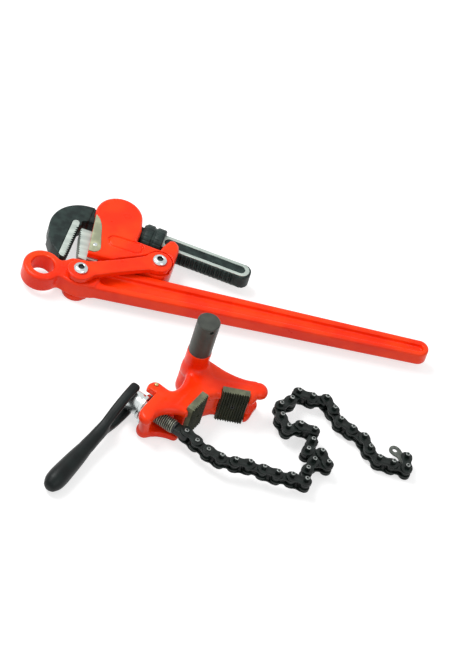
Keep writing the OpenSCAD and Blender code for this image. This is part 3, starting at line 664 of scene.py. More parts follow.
class WRENCH_OT_links(bpy.types.Operator):
    """Two side links and the two pivot bolts that join them to the handle and the head"""

    bl_idname = "wrench.links"
    bl_label = "Side links and bolts"

    def execute(self, context):
        looks = finishes()
        step = 0.7
        low = (-17, -17, -5)
        x, y, z = grid(low, (LINK_LENGTH + 17, 17, 5), step)
        waist = path(spline([[8, 12.2], [16, 10], [46, 9.2], [76, 10], [84, 12.2]]),
                     spline([[84, -12.2], [76, -10], [46, -9.2], [16, -10], [8, -12.2]]))
        from_bolt = np.minimum(np.hypot(x, y), np.hypot(x - LINK_LENGTH, y))
        flat = blend(from_bolt - LINK_END, outline_field(waist, x, y), 3.0)
        body = np.maximum(plate(flat, z, -3.75, 3.75, 2.0), BOLT_R + FIT - from_bolt)
        surface = skin(body, low, step)
        for name, side in (("front_link", 1), ("rear_link", -1)):
            solid(name + "_forging", surface, LINKS @ shift(0, 0, side * LINK_Z), "side_links",
                  looks["enamel"], name, "red_enamel", 0)
        dome = [[0.01, -18.6], [4.9, -18.6], [5.5, -18], [5.5, 19.05], [8.0, 19.05], [8.1, 19.3], [8.1, 20.5],
                [7.7, 21.5], [6.8, 22.4], [5.6, 23.1], [4.6, 23.4], [3.9, 23.4], [3.6, 23.2]]
        # the socket in each bolt head takes the socket shadow finish, painted shade in the recess
        socket = [[3.6, 23.2], [3.4, 22.6], [3.3, 21.4], [0.01, 21.2]]
        surfaces = []
        for u, v in (BOLT1, BOLT2):
            at = WRENCH @ shift(u, v)
            surfaces += [(placed(lathe(dome, 56), at), 0), (placed(lathe(socket, 6), at), 1)]
        piece("pivot_bolt_pair", surfaces, "side_links", [looks["zinc"], looks["recess"]], "pivot_bolts",
              "bright_steel", 35)
        return {"FINISHED"}


def left_x(y):
    """Left edge of the housing at a height."""
    return 12.7 - 0.148 * (y + 6.5)


# Outline of a leaf plate without its two corners on the housing's edge
LEAF = path([left_x(-7) + 0.8, -7],
            spline([[18.6, -11.5], [23.5, -20.6], [27.8, -36], [32, -51], [31.4, -57.2], [27, -61]]),
            [left_x(-61) + 1.4, -61.6])


class WRENCH_OT_housing(bpy.types.Operator):
    """Head housing: one casting with a loop over the shank, a seat for the heel jaw, a lug behind the nut"""

    bl_idname = "wrench.housing"
    bl_label = "Head housing"

    def execute(self, context):
        sizes = context.scene.wrench_shape
        looks = finishes()
        step = sizes.cell * 0.85
        low = (6, -68, -21)
        x, y, z = grid(low, (117, 34, 21), step)
        a, b = NUT_AT - NUT_L / 2, NUT_AT + NUT_L / 2
        side = path(arc(LOBE, LOBE_R, 11, 205, 40), [[left_x(-64.5), -64.5], [67, -57.6]],
                    arc(BOLT2_HEAD, HEAD_BOSS, 262, 358, 16), [112.6, -14],
                    spline([[110.6, -7], [104.4, -2.4], [98.8, -4.2]]),
                    [[b + 2.4, -15], [b + 1, -22.2], [a - 0.2, -22.2], [a - 1, -20], [a - 1, -4]])
        f = plate(outline_field(side, x, y), z, -STACK, STACK, sizes.cast_edge + 1.4)
        # the link's bed on each side, with a raised rim left around its end
        bed = path(arc([0, 0], LINK_END + 0.9, 270, 118, 24),
                   [[20, 120], [130, 80], [130, -10.8], [24, -10.8], [12, -11.5]])
        bed = bed @ turn("z", LINK_ANGLE - HEAD_ANGLE + 180)[:2, :2].T + BOLT2_HEAD
        f = carve(f, plate(outline_field(bed, x, y), np.abs(z), THICK / 2, BEYOND, 0.8), 0.9)
        # plain oval panel: a groove around a slightly sunk field
        ring = outline_field(racetrack((44.03, -35.34), (67.97, -33.66), 7.6), x, y)
        f = carve(f, plate(np.abs(ring) - 1.2, np.abs(z), STACK - 1.9, BEYOND, 0.6), 0.5)
        f = carve(f, plate(ring, np.abs(z), STACK - 0.5, BEYOND, 0.3), 0.4)
        # seats of the leaf plates
        room = np.where(LEAF[:, 1:] < -50, [0.35, -0.35], [0.35, 0.2])
        seat = path([[0, -5], [left_x(-6), -6.2]], LEAF + room, [0, -62.4])
        f = carve(f, plate(outline_field(seat, x, y), np.abs(z), STACK - 1.3, BEYOND, 0.1), 0.3)
        # shank slot, spring pockets, seat of the heel jaw's tongue, bores
        f = carve(f, block(x, y, z, (-20, -SLOT, -10), (140, SLOT, 10)), 0.6)
        f = np.maximum(f, -block(x, y, z, (20, 11, -6.5), (53.4, 15.8, 6.5)))
        pocket = np.maximum(np.hypot(x - LOBE[0], z) - 5.6, np.abs(y - 19.0) - 6.2)
        f = np.maximum(f, -pocket)
        f = carve(f, block(x, y, z, (-5, -66, -10), (34, -10, 10)), 0.4)
        f = np.maximum(f, BOLT_R + FIT - np.hypot(x - BOLT2_HEAD[0], y - BOLT2_HEAD[1]))
        f = np.maximum(f, HEEL_PIN_R + FIT - np.hypot(x - HEEL_PIN[0], y - HEEL_PIN[1]))
        solid("head_casting", skin(f, low, step), HEAD, "head", looks["enamel"], "head_housing",
              "red_enamel", 0)
        return {"FINISHED"}


class WRENCH_OT_heel(bpy.types.Operator):
    """Heel jaw with its teeth, the two leaf plates beside it and the cross pin"""

    bl_idname = "wrench.heel"
    bl_label = "Heel jaw"

    def execute(self, context):
        looks = finishes()
        top, low, gap = -25.0, -68.8, 2.0
        lean = math.radians(13.4)
        along, root = saw(14, (top - low) / math.cos(lean), 1.7)
        row = np.stack([gap + root + along * math.sin(lean), top - along * math.cos(lean)], 1)
        jaw = path(row, [[left_x(low) + 0.2, low], [left_x(low), -65.6], [33.6, -65.6], [33.6, -14.2],
                         [24, -14.2], [left_x(top) - 0.6, top]])
        solid("heel_jaw_insert", prism(jaw, -SHANK_T / 2, SHANK_T / 2, 0.35), HEAD, "head", looks["ground"],
              "heel_jaw", "bright_steel", 30)
        leaf = path([left_x(-7), -7], LEAF, [left_x(-61.6), -61.6])
        plates = [(placed(prism(leaf, z - 0.6, z + 0.6, 0.25), HEAD), 0) for z in (STACK - 0.6, 0.6 - STACK)]
        piece("leaf_plate_pair", plates, "head", looks["leaf"], "heel_jaw_plates", "bright_steel", 30)
        r = HEEL_PIN_R
        pin = [[0.01, -18.9], [2.2, -18.9], [r, -18.6], [r, 18.9], [2.45, 19.15], [2.2, 19.35], [1.2, 19.5],
               [0.01, 19.5]]
        solid("heel_cross_pin", lathe(pin, 32), HEAD @ shift(*HEEL_PIN), "head", looks["zinc"],
              "heel_jaw_pin", "bright_steel", 40)
        return {"FINISHED"}


class WRENCH_OT_springs(bpy.types.Operator):
    """Inner springs of the head: a wound coil in the lobe, and the flat one on the shank"""

    bl_idname = "wrench.springs"
    bl_label = "Inner springs"

    def execute(self, context):
        looks = finishes()
        turns, r, height = 3.5, 4.4, 9.2
        # helix: a circle of radius r that climbs evenly along y
        t = np.linspace(0, turns * 2 * math.pi, 168)
        coil = np.stack([r * np.cos(t), height / turns * t / (2 * math.pi), r * np.sin(t)], 1)
        solid("wound_coil", tube(coil, 0.7, 12), HEAD @ shift(LOBE[0], SLOT + 2.85), "head", looks["spring"],
              "coil_spring", "spring_steel", 60)
        coat("flat_spring", looks["spring"])
        return {"FINISHED"}


class WRENCH_OT_adjuster(bpy.types.Operator):
    """Adjusting nut: two bands of ribs with a groove between them"""

    bl_idname = "wrench.adjuster"
    bl_label = "Adjusting nut"

    def execute(self, context):
        sizes = context.scene.wrench_shape
        looks = finishes()
        ribs = sizes.nut_ribs
        n = ribs * 10
        bore, ease = 13.8, 0.5
        # rows from end to end: height, depth under the full radius, share of the ribs' depth
        rows = np.array([[0, 2.6, 0], [0.6, 2.2, 0.2], [1.6, 1.5, 0.7], [2.6, 0.8, 1], [3.2, 0.25, 1],
                         [4, 0, 1], [10.2, 0, 1], [10.8, 0.2, 1], [11.6, 0.9, 0.7], [12.2, 1.7, 0],
                         [13.8, 1.7, 0], [14.4, 0.9, 0.7], [15.2, 0.2, 1], [15.8, 0, 1], [23.4, 0, 1],
                         [24.1, 0.25, 1], [24.6, 0.7, 0.8], [NUT_L, 1.2, 0.5]])
        height, under, share = rows[:, :1], rows[:, 1:2], rows[:, 2:]
        # a rib's section: broad crest with a narrow rounded groove, as a power of a cosine
        t = np.linspace(0, 2 * math.pi, n, endpoint=False)
        outer = NUT_R - under - 0.45 * share * (0.5 + 0.5 * np.cos(ribs * t)) ** 6
        inner = np.array([[bore + ease], [bore], [bore], [bore + ease]]) + 0 * t
        radius = np.concatenate([outer, inner])
        height = np.append(height, [NUT_L, NUT_L - ease, ease, 0.0])
        surface = (around(radius, height, n), [tube_faces(len(height), n, close_rows=True)])
        at = HEAD @ shift(NUT_AT - NUT_L / 2) @ turn("y", 90)
        solid("ribbed_adjusting_nut", surface, at, "adjuster", looks["phosphate"], "adjusting_nut",
              "dark_steel", 45)
        return {"FINISHED"}


class WRENCH_OT_hook(bpy.types.Operator):
    """Hook jaw: forged hook, ground toothed strip, threaded shank with a bright rim around a dark panel"""

    bl_idname = "wrench.hook"
    bl_label = "Hook jaw"

    def execute(self, context):
        looks = finishes()
        half = SHANK_T / 2
        # forged hook, without the strip
        hook = path(arc([6.9, -28.4], 39, 88, 205, 24),
                    spline([[-27.6, -51], [-20.4, -62.6], [-15.6, -67.2], [-10.6, -71.2]]),
                    [[-9.2, -72.2], [-8.8, -70], [-8.9, -22]], arc([-4.8, -20.6], 4.2, 195, 20, 10),
                    [-0.6, -24.4], arc([5.2, -17], 4, 225, 90, 8), [[7.6, -11], [7.6, 8]])
        # strip along the jaw face, with its teeth
        along, root = saw(15, 48.6, 2.4)
        strip = path([[-8.9, -72.4], [-6.5, -74.9], [-3.4, -75.6], [-0.8, -74.8]],
                     np.stack([-root, along - 73.6], 1), [-0.6, -24.2],
                     arc([-4.75, -20.6], 4.15, 10, 190, 10), [-8.9, -22])
        # shank: at each place the least of a round bar, two flats and the tooth's height, around the axis
        first, pitch, depth = 50, 5, 2.3
        count = int((SHANK_END - first) // pitch)
        i = np.repeat(np.arange(count), 4)
        tooth_x = first + (i + np.tile([0.08, 0.42, 0.58, 0.92], count)) * pitch
        tooth_y = SHANK_W / 2 - np.tile([depth, 0, 0, depth], count)
        tail, tail_r = np.radians(np.linspace(80, 3, 12)), SHANK_W / 2 - 1
        xs = np.concatenate([[0, 46], tooth_x, SHANK_END + tail_r * np.cos(tail)])[:, None]
        ys = np.concatenate([[10, 11.3], tooth_y, tail_r * np.sin(tail)])[:, None]
        flat = half - 1.0
        a = np.degrees(math.atan2(flat, 9.28))
        phi = np.radians(np.concatenate([np.linspace(0, a, 7), np.linspace(a, 90, 8)[1:]]))
        phi = np.concatenate([phi, math.pi - phi[::-1][1:]])
        phi = np.concatenate([phi, phi[1:-1] + math.pi])
        c, q = np.cos(phi), np.sin(phi)
        r = np.minimum(0.54 * SHANK_W, flat / (np.abs(q) + 1e-6))
        r = np.minimum(r, ys / (np.abs(c) + 1e-6))
        bar = np.stack([np.broadcast_to(xs, r.shape), r * c, r * q], -1)
        start = np.stack([0 * c, 0.01 * c, 0.01 * q], -1)
        end = np.stack([0 * c + xs[-1], 0 * c, flat * q], -1)
        bar = np.concatenate([start[None], bar, end[None]])
        shank = (bar.reshape(-1, 3), [tube_faces(len(bar), len(phi))])
        # rim on both flats, from its near edge around the shank's end
        rim_x, rim_r = 91, 9.1
        rim = path([rim_x, -rim_r], arc([SHANK_END, 0], rim_r, -90, 90, 16), [rim_x, rim_r])
        panel = racetrack((98.5, 0), (SHANK_END - 1, 0), 5.4)
        # the strip's toothed sides and rounded rims take the dark forged finish as painted shade between the jaws;
        # its two faces are ground steel
        surfaces = [(prism(hook, -half, half, 1.4), 0),
                    (prism(strip, -half - FIT, half + FIT, 0.3), (0, 1, 1)), (shank, 0)]
        for low, high in ((flat - 0.2, half), (-half, 0.2 - flat)):
            surfaces.append((prism(rim, low, high, 0.15, holes=[panel]), 1))
        piece("forged_hook_jaw", [(placed(part, HEAD), mark) for part, mark in surfaces], "hook",
              [looks["phosphate"], looks["ground"]], "hook_jaw", "dark_steel", 30)
        return {"FINISHED"}


# Trunnion

# Plans of the casting: its roof and its floor, the V wall, and in the left face's frame the hood's wall
UPPER = path(
    spline([[-6, 14], [2, 20.4], [16.1, 28.6], [27, 37.4], [35, 46.5], [40.1, 56]], 5),
    arc([51.5, 53], 10.6, 160, -30, 12), [[66, 38], [62, 26], [52, 15.2], [46, 4], [46, -4], [60, -30]],
    spline(path(
        face_points([[41, -6.5], [46.7, -14.5], [52, -21], [57, -25.6], [64, -28.8], [72, -29.8], [78, -29.2],
                     [82, -31.4], [83.4, -36], [80.6, -42.4], [74, -46.6], [66, -48.6], [56, -49.4]]),
        [[22, -69.4], [15, -66.4], [9.6, -61.4], [8.6, -55], [11.6, -49.8], [19, -46], [24.6, -42.6],
         [25.4, -36.4], [20.6, -26.4], [8, -13.6]]), 5), [-4, -12])
LOWER = path(
    spline([[-6, 12], [8, 18], [20, 28], [34, 42]], 5), arc([46, 50], 9.6, 160, 20, 10),
    spline([[58.6, 48.4], [62.8, 43.4], [65.4, 38], [64.6, 33.6], [60, 30]], 4),
    [[60, 26], [50, 15], [44, 4], [44, -4], [58, -30]],
    spline(path(
        face_points([[42, -6.5], [47, -5], [52, -4.4], [55.6, -5.6], [57.4, -9], [59, -14], [63.6, -22],
                     [70, -28.6], [75, -33.4], [76.4, -38.6], [73.4, -44], [66, -47.2], [57, -48.4]]),
        [[22, -68.2], [15, -65.8], [10, -61], [9, -55], [12, -50.2], [19, -46.6], [23.6, -42.8],
         [24.2, -36.4], [20, -27], [8, -13]]), 5), [-4, -12])
VEE_WALL = path([[-6, 10], [26.7, 10], [47.4, 45.9], [59, 41], [44, 8], [44, -8], [59, -41], [47.4, -45.9],
                 [26.7, -10], [-6, -10]])
HOOD_WALL = path([[39.5, -47], [58, -47]],
                 spline([[64, -46.4], [72, -44.4], [77, -40.4], [78.6, -35.6], [76.6, -31.6], [71, -30.6],
                         [66, -32.2], [61, -35]], 4), [39.5, -35])


class WRENCH_OT_trunnion(bpy.types.Operator):
    """Trunnion: one casting of two plates, a V wall and a hood, and the upright pin in its boss"""

    bl_idname = "wrench.trunnion"
    bl_label = "Trunnion casting and pin"

    def execute(self, context):
        sizes = context.scene.wrench_shape
        looks = finishes()

        def face(side):
            """Places along a pad's face and out of it, for the left pad or, with -1, the right one."""
            u, v = x - VEE_X, side * y
            return u * FACE_COS - v * FACE_SIN, u * FACE_SIN + v * FACE_COS

        step = sizes.cell
        low = (-21, -95, -2)
        x, y, z = grid(low, (80, 67, 66), step)
        wall_low, wall_high = 5, 41
        boss = plate(np.hypot(x, y) - 13.3, z, 0, 64, 1.2)
        roof = carve(plate(outline_field(UPPER, x, y), z, 22, 42, 6.5), z - 33, 1.5)
        floor = plate(outline_field(LOWER, x, y), z, 4, 12, 2.6)
        wall = plate(outline_field(VEE_WALL, x, y), z, wall_low, wall_high, 1.5)
        # the hood's wall leans out towards the roof
        along, out = face(1)
        lean, tilt = np.clip((z - wall_low) / (wall_high - wall_low), 0, 1), 2.9
        under, over = outline_field(HOOD_WALL, along + tilt, out), outline_field(HOOD_WALL, along - tilt, out)
        hood = plate(under + (over - under) * lean, z, wall_low, wall_high, 2.5)
        f = roof
        for part in (wall, floor, hood):
            f = blend(f, part, sizes.cast_fillet)
        f = blend(f, boss, 7.0)
        # the foot of the boss is flat on the floor
        f = np.maximum(f, FIT - z)
        # seats of the pads
        for side in (1, -1):
            seat = block(*face(side), z, (PAD_S - 0.3, -PAD_T - FIT, -5),
                         (PAD_S + PAD_W + 0.3, BEYOND, BEYOND))
            f = carve(f, seat, 0.4)
        # bores of the screw and its nut, room for both, gap between the lugs, bores of the two pins
        bore = np.hypot(along - AXIS_S, z - AXIS_Z)
        f = np.maximum(f, SCREW_R + 0.5 - bore)
        f = np.maximum(f, np.minimum(11.4 - bore, HOOD_OUT + 4.4 - out))
        f = carve(f, block(along, out, z, (28, -90, 11.6), (90, HOOD_OUT, 33.4)), 0.5)
        f = carve(f, block(along, out, z, (AXIS_S - 11, -120, -5), (130, HOOD_OUT, 100)), 0.6)
        f = np.maximum(f, RETAINER_R + FIT - np.hypot(along - RETAINER[0], out - RETAINER[1]))
        f = np.maximum(f, np.minimum(7.67 - np.hypot(x, y), z - 24))
        solid("trunnion_casting", skin(f, low, step), TRUNNION, "trunnion", looks["enamel"], "trunnion_body",
              "red_enamel", 0)
        coat("trunnion_pin", looks["oxide"])
        return {"FINISHED"}


def outward(obj):
    """Doubles merged and faces turned outwards on a closed mesh."""
    b = bmesh.new()
    b.from_mesh(obj.data)
    bmesh.ops.remove_doubles(b, verts=b.verts, dist=1e-6)
    bmesh.ops.recalc_face_normals(b, faces=b.faces)
    b.to_mesh(obj.data)
    b.free()
    obj.data.set_sharp_from_angle(angle=math.radians(35))


class WRENCH_OT_pads(bpy.types.Operator):
    """Two jaw pads with upright teeth nicked across, and their sunk screws"""

    bl_idname = "wrench.pads"
    bl_label = "Jaw pads"

    def execute(self, context):
        sizes = context.scene.wrench_shape
        looks = finishes()
        rows = sizes.pad_rows
        i = np.repeat(np.arange(rows), 6)
        u = (i + np.tile([0.0, 0.12, 0.5, 0.58, 0.72, 0.9], rows)) * (PAD_W / rows)
        n = np.tile([-1.9, -1.9, -0.3, 0.0, 0.0, -1.5], rows)
        u, n = np.append(u, PAD_W)[:, None], np.append(n, -1.9)[:, None]
        w = np.linspace(0, PAD_H, 116)
        # nicks: a squared wave up each crest, three waves later at the far edge of the pad
        nick = 0.6 * (0.5 + 0.5 * np.cos(2 * math.pi * (w / 3.2 + u / PAD_W * 3.0))) ** 2
        depth = n - nick * (n > -1.0)
        hole = np.hypot(u - PAD_W / 2, w - PAD_H / 2)
        depth = np.where(hole < 2.5, -4.4, depth)
        face = np.stack([PAD_S + np.broadcast_to(u, depth.shape), depth, np.broadcast_to(w, depth.shape)], -1)
        # the face's rim is carried back to the seat
        rim = np.concatenate([face[:, 0], face[-1, 1:], face[-2::-1, -1], face[0, -2:0:-1]])
        back = rim.copy()
        back[:, 1] = -PAD_T
        front = (face.reshape(-1, 3), [tube_faces(len(u), len(w), close_cols=False)[:, ::-1]])
        sides = (np.concatenate([rim, back]), [tube_faces(2, len(rim))])
        corners = [[s, -PAD_T, h] for s, h in ((0, 0), (PAD_W, 0), (PAD_W, PAD_H), (0, PAD_H))]
        rear = (np.array(corners) + [PAD_S, 0, 0], [np.array([[1, 2, 3, 0]])])
        for name, at in (("left_jaw_pad", FACE), ("right_jaw_pad", OTHER_FACE)):
            # the toothed front takes the darker olive, painted shade in the teeth; the sides and back take the
            # paler olive, painted light
            parts = [(placed(part, at), mark) for part, mark in ((front, 0), (sides, 1), (rear, 1))]
            outward(piece(name + "_block", parts, "trunnion", [looks["olive"], looks["milled"]], name,
                          "olive_steel", 35))
        # the pad screws' heads take the socket shadow finish: painted shade in their holes
        coat("pad_screws", looks["recess"])
        return {"FINISHED"}


class WRENCH_OT_swivel(bpy.types.Operator):
    """Swivel nut with its collar, the crank pins, and the forked retainer with its pin"""

    bl_idname = "wrench.swivel"
    bl_label = "Swivel nut and retainer"

    def execute(self, context):
        looks = finishes()
        n = PIVOT_N
        collar = [[8.35, n - 7.4], [10.2, n - 7.4], [11.4, n - 7.1], [12.2, n - 6.4], [12.55, n - 5.4],
                  [12.6, n - 4.6], [12.6, -53.6], [12.9, -53.4], [14.5, -53.3], [14.9, -53.1], [15.0, -52.7],
                  [15.0, -49.7], [14.8, -49.5], [9.8, -49.5], [9.7, -49.4], [9.7, -45.6], [10.8, -45.6],
                  [10.9, -45.5], [10.9, -42.5], [10.8, -42.4], [8.35, -42.4]]
        at = SWIVEL @ shift(0, -n, 0) @ turn("x", -90)
        solid("turned_swivel_nut", ring_lathe(collar, 72), at, "swivel", looks["zinc"], "swivel_nut",
              "zinc", 35)
        coat("crank_pins", looks["zinc"])
        coat("nut_retainer", looks["zinc"])
        r = RETAINER_R
        rod = [[0.01, 5], [1.9, 5], [r, 5.3], [r, 42.5], [2.1, 42.8], [1.8, 42.95], [0.01, 43.0]]
        solid("retainer_cross_pin", lathe(rod, 32), FACE @ shift(*RETAINER), "trunnion", looks["brass"],
              "retainer_pin", "brass", 40)
        return {"FINISHED"}


class WRENCH_OT_crank(bpy.types.Operator):
    """Fork crank: round arms over the swivel nut, a neck and a long swelling grip under one dip of vinyl"""

    bl_idname = "wrench.crank"
    bl_label = "Fork crank"

    def execute(self, context):
        looks = finishes()
        step = 0.8
        low = (-10, -12, -25)
        x, y, z = grid(low, (CRANK_REACH + 3, 12, 25), step)
        arm, half = 18.0, 4.4
        out, gap = arm + half, arm - half
        # fork in its own plane: ends of the arms, outer edges, inner edge
        outer = spline([[6, out - 0.3], [14, out - 1.2], [32, arm - 0.6], [50, 10.4], [66, 6.6], [84, 4]], 5)
        inner = spline([[12, -gap - 0.2], [26, -10.6], [40, -6], [46, 0], [40, 6], [26, 10.6],
                        [12, gap + 0.2]], 5)
        fork = path(arc([-2.6, arm], half, 270, 90, 10), outer, outer[::-1] * [1, -1],
                    arc([-2.6, -arm], half, -90, -270, 10), [4, -gap], inner, [4, gap])
        yoke = plate(outline_field(fork, x, z), y, -5.5, 5.5, 3.9)
        # grip: a closed profile of radius and reach, mirrored over the axis
        swell = [[-4.9, 60], [-4.5, 70], [-3.3, 84], [-1.5, 104], [-0.2, BULGE - 10], [0, BULGE],
                 [-0.9, BULGE + 8], [-4, CRANK_REACH - 3]]
        bell = path([0, 52], [5.4, 52], spline(np.array(swell) + [GRIP_R, 0], 6),
                    [[GRIP_R - 7, CRANK_REACH - 0.6], [0, CRANK_REACH]])
        grip = outline_field(path(bell, bell[::-1] * [-1, 1]), np.hypot(y, z), x)
        f = blend(yoke, grip, 5.0)
        f = np.maximum(f, np.minimum(3.25 - np.hypot(x, y), 20.6 - np.abs(z)))
        solid("dipped_fork_crank", skin(f, low, step), SWIVEL, "crank", looks["vinyl"], "crank_handle",
              "black_vinyl", 0)
        return {"FINISHED"}


# Chain

class WRENCH_OT_screw(bpy.types.Operator):
    """Chain screw: a helical thread on a bar, and a flat eye for the chain's first pin"""

    bl_idname = "wrench.screw"
    bl_label = "Chain screw"

    def execute(self, context):
        looks = finishes()
        n, rows_a_turn = 48, 10
        tail, head, lead, deep = PIVOT_N - 4.4, -9.0, 2.31, 1.2
        h = np.linspace(tail, head, int((head - tail) / lead * rows_a_turn))
        t = np.linspace(0, 1, n, endpoint=False)
        # thread: a flattened triangle wave of height and angle, so that crests climb one lead a turn
        phase = (h[:, None] / lead - t) % 1.0
        wave = np.clip(1.6 * np.abs(2 * phase - 1) - 0.3, 0, 1)
        fade = np.clip((h - tail) / 2.5, 0, 1) * np.clip((head - h) / 3, 0, 1)
        r = SCREW_R - deep + deep * wave * fade[:, None]
        cap = np.full((1, n), 0.01)
        r = np.concatenate([cap, r[:1] - 0.8, r, cap])
        h = np.concatenate([[tail, tail], h + 0.01, [head + 0.01]])
        faces = tube_faces(len(h), n)
        # faces down in the thread's roots take the socket shadow finish, painted shade
        root = r.reshape(-1)[faces].mean(1) < SCREW_R - 0.75
        bar = (around(r, h, n), [faces[~root], faces[root]])
        eye = path(arc([0, 0], 6.6, -32, 212, 24), [[-5.6, -13], [5.6, -13]])
        lug = prism(eye, -3.85, 3.85, 0.5, holes=[arc([0, 0], 3.16, 0, 345, 23)])
        surfaces = [(placed(bar, SCREW), (0, 2)), (placed(lug, FACE @ shift(AXIS_S, FIRST_PIN_N, AXIS_Z)), 1)]
        piece("threaded_chain_screw", surfaces, "screw", [looks["thread"], looks["chain"], looks["recess"]],
              "chain_screw", "bright_steel", 35)
        return {"FINISHED"}


def waisted(r):
    """Outline of a chain plate: two rounded ends with a waist between them."""
    shoulder = 0.985
    k = np.linspace(0, 1, 9)
    x = PITCH * (0.1 + 0.8 * k)
    y = r * (shoulder - 0.23 * np.sin(math.pi * k) ** 2)
    a = math.degrees(math.asin(shoulder)) - 4
    return path(arc([PITCH, 0], r, -a, a, 14), np.stack([x, y], 1)[::-1],
                arc([0, 0], r, 180 - a, 180 + a, 14), np.stack([x, -y], 1))


def chain_pin(x, top):
    """Surfaces of a chain pin at a place along its link: dark stem, bright rim and dark dimple."""
    r = CHAIN_PIN_R
    stem = [[0.01, -PIN_END], [2.0, -PIN_END], [r, 0.4 - PIN_END], [r, top - 0.5]]
    rim = [[r, top - 0.5], [2.3, top - 0.15], [1.9, top], [1.3, top]]
    dimple = [[1.3, top], [1.1, top - 0.3], [0.01, top - 0.35]]
    return [(placed(lathe(line, 24), shift(x)), mark) for line, mark in ((stem, 0), (rim, 1), (dimple, 0))]


class WRENCH_OT_chain(bpy.types.Operator):
    """Roller chain: outer links with riveted pins, inner links with rollers, and a plain end plate"""

    bl_idname = "wrench.chain"
    bl_label = "Roller chain"

    def execute(self, context):
        looks = finishes()

        def leaves(mark, *lows):
            """Chain plates that stand on these heights."""
            return [(prism(shape, z, z + thick, 0.35, holes=bores, steps=2), mark) for z in lows]

        shape, bore, thick = waisted(PLATE_R), 2.6, 2.0
        outer, inner, half = 4.75, 2.4, 2.35
        bores = [arc([x, 0], bore, 0, 345, 23) for x in (0, PITCH)]
        roller = [[bore, -half], [4.7, -half], [5.0, 0.2 - half], [5.08, 0.5 - half], [5.08, half - 0.5],
                  [5.0, half - 0.2], [4.7, half], [bore, half]]
        rollers = [(placed(ring_lathe(roller, 28), shift(x)), 0) for x in (0, PITCH)]
        outer_plates = leaves(0, outer, -outer - thick)
        inner_link = leaves(0, inner, -inner - thick) + rollers
        end_plate = leaves(2, -thick / 2)
        # from the fourth pin on, the pins reach further above the plates
        long_from, extension = 4, 4.0
        for i, (own, far) in enumerate(zip(PIN_AT, NEXT_AT), 1):
            if i == LINK_COUNT:
                parts = end_plate
            elif i % 2 == 0:
                parts = inner_link
            else:
                tops = [PIN_END + (extension if k >= long_from else 0.0) for k in (i, i + 1)]
                parts = outer_plates + chain_pin(0, tops[0]) + chain_pin(PITCH, tops[1])
            at = aimed(own, far, CHAIN_UP)
            name = f"chain_link_{i:02d}"
            piece(name + "_set", [(placed(p, at), mark) for p, mark in parts], f"link_{i:02d}",
                  [looks["chain"], looks["rivet"], looks["worn"]], name, "chain_steel", 35)
        return {"FINISHED"}


# Stage

def seen_directly(tree):
    """One for rays of the camera, of reflections and through glass, and nought for those that only light."""
    ray = add(tree, "ShaderNodeLightPath")
    seen = add(tree, "ShaderNodeMath", {"operation": "MAXIMUM"},
               links={0: (ray, "Is Camera Ray"), 1: (ray, "Is Glossy Ray")})
    return add(tree, "ShaderNodeMath", {"operation": "MAXIMUM"},
               links={0: (seen, 0), 1: (ray, "Is Transmission Ray")})


def look(ahead, upward):
    """Rotation whose minus z axis is ahead and whose y axis leans to upward."""
    back = -np.asarray(ahead, float) / np.linalg.norm(ahead)
    side = np.cross(upward, back)
    side = side / np.linalg.norm(side)
    return Matrix(np.stack([side, np.cross(back, side), back], 1).tolist()).to_euler()


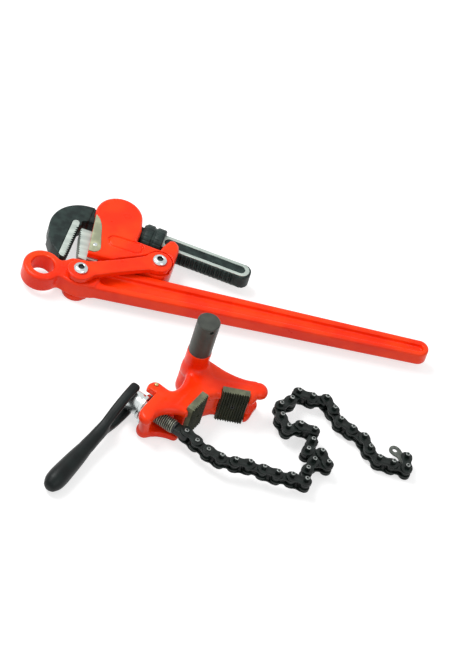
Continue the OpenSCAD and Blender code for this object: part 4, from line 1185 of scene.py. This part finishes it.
class WRENCH_OT_stage(bpy.types.Operator):
    """Pale floor, soft studio light and the camera"""

    bl_idname = "wrench.stage"
    bl_label = "Stage"

    def execute(self, context):
        scene = context.scene
        scene.view_settings.view_transform = "Standard"
        # floor: matt white that keeps a shadow, lifted to white for the camera and in reflections
        mesh = bpy.data.meshes.new("floor")
        mesh.from_pydata([(-6, -6, 0), (6, -6, 0), (6, 6, 0), (-6, 6, 0)], [], [(0, 1, 2, 3)])
        floor = bpy.data.objects.new("floor", mesh)
        scene.collection.objects.link(floor)
        floor.location.z = CAD_BOX[0][2] - 0.0002
        pale = bpy.data.materials.new("pale_floor")
        tree = cleared(pale)
        glow = add(tree, "ShaderNodeMath", {"operation": "MULTIPLY"}, {1: 0.62},
                   {0: (seen_directly(tree), 0)})
        matt = add(tree, "ShaderNodeBsdfDiffuse", inputs={"Color": linear("#c6c6c6")})
        lift = add(tree, "ShaderNodeEmission", inputs={"Color": linear("#ffffff")},
                   links={"Strength": (glow, 0)})
        both = add(tree, "ShaderNodeAddShader", links={0: (matt, "BSDF"), 1: (lift, "Emission")})
        add(tree, "ShaderNodeOutputMaterial", links={"Surface": (both, "Shader")})
        mesh.materials.append(pale)
        # world: white where it is seen or mirrored, softer where it lights
        scene.world = bpy.data.worlds.new("studio")
        tree = cleared(scene.world)
        level = add(tree, "ShaderNodeMapRange", inputs={"To Min": 0.5, "To Max": 1.0},
                    links={"Value": (seen_directly(tree), 0)})
        sky = add(tree, "ShaderNodeBackground", inputs={"Color": linear("#ffffff")},
                  links={"Strength": (level, "Result")})
        add(tree, "ShaderNodeOutputWorld", links={"Surface": (sky, "Background")})
        middle = np.array([0.03, 0.05, 0.02])
        for name, at, size, power in (("key", (-0.9, 0.4, 1.5), 0.9, 24.0),
                                      ("fill", (0.9, -1.2, 1.3), 1.2, 7.0)):
            lamp = bpy.data.lights.new(name, "AREA")
            lamp.size = size
            lamp.energy = power
            obj = bpy.data.objects.new(name, lamp)
            scene.collection.objects.link(obj)
            obj.location = at
            obj.rotation_euler = look(middle - at, (0, 0, 1))
        # camera: long lens from the front, well above, rolled so that the handle falls to the right
        azimuth, elevation, roll = (math.radians(a) for a in (-8.48, 47, 18.45))
        aim = np.array([0.0321, 0.0696, 0.02])
        distance, sensor = 5.0, 24.0
        # scale at the aim in pixels to a millimetre, and the picture's height in pixels
        scale, picture = 0.9165, 670.0
        right = np.array([math.cos(azimuth), math.sin(azimuth), 0])
        away = np.array([-math.sin(azimuth), math.cos(azimuth), 0])
        up = np.array([0, 0, 1.0])
        ahead = math.cos(elevation) * away - math.sin(elevation) * up
        rise = math.sin(elevation) * away + math.cos(elevation) * up
        data = bpy.data.cameras.new("camera")
        data.sensor_fit = "VERTICAL"
        data.sensor_height = sensor
        data.lens = sensor * scale * 1000 * distance / picture
        data.clip_start, data.clip_end = 0.05, 30.0
        camera = bpy.data.objects.new("camera", data)
        scene.collection.objects.link(camera)
        camera.location = aim - ahead * distance
        camera.rotation_euler = look(ahead, math.cos(roll) * rise - math.sin(roll) * right)
        scene.camera = camera
        return {"FINISHED"}


class WRENCH_PT_panel(bpy.types.Panel):
    """Sizes, colours and pieces of the wrench"""

    bl_label = "Wrench"
    bl_idname = "WRENCH_PT_panel"
    bl_space_type = "VIEW_3D"
    bl_region_type = "UI"
    bl_category = "Wrench"

    def draw(self, context):
        for group in (context.scene.wrench_shape, context.scene.wrench_finish):
            for key in group.__annotations__:
                self.layout.prop(group, key)
        for operator in OPERATORS:
            self.layout.operator(operator.bl_idname)


OPERATORS = (WRENCH_OT_stage, WRENCH_OT_handle, WRENCH_OT_links, WRENCH_OT_housing, WRENCH_OT_heel,
             WRENCH_OT_springs, WRENCH_OT_adjuster, WRENCH_OT_hook, WRENCH_OT_trunnion, WRENCH_OT_pads,
             WRENCH_OT_swivel, WRENCH_OT_crank, WRENCH_OT_screw, WRENCH_OT_chain)
CLASSES = (WrenchShape, WrenchFinish, *OPERATORS, WRENCH_PT_panel)


def register():
    """Adds the classes and the two groups of settings."""
    for c in CLASSES:
        bpy.utils.register_class(c)
    bpy.types.Scene.wrench_shape = PointerProperty(type=WrenchShape)
    bpy.types.Scene.wrench_finish = PointerProperty(type=WrenchFinish)


def unregister():
    """Takes the settings and the classes away again."""
    del bpy.types.Scene.wrench_shape
    del bpy.types.Scene.wrench_finish
    for c in reversed(CLASSES):
        bpy.utils.unregister_class(c)


def main():
    """Runs every operator in order."""
    register()
    for operator in OPERATORS:
        group, name = operator.bl_idname.split(".")
        getattr(getattr(bpy.ops, group), name)()


if __name__ == "__main__":
    main()
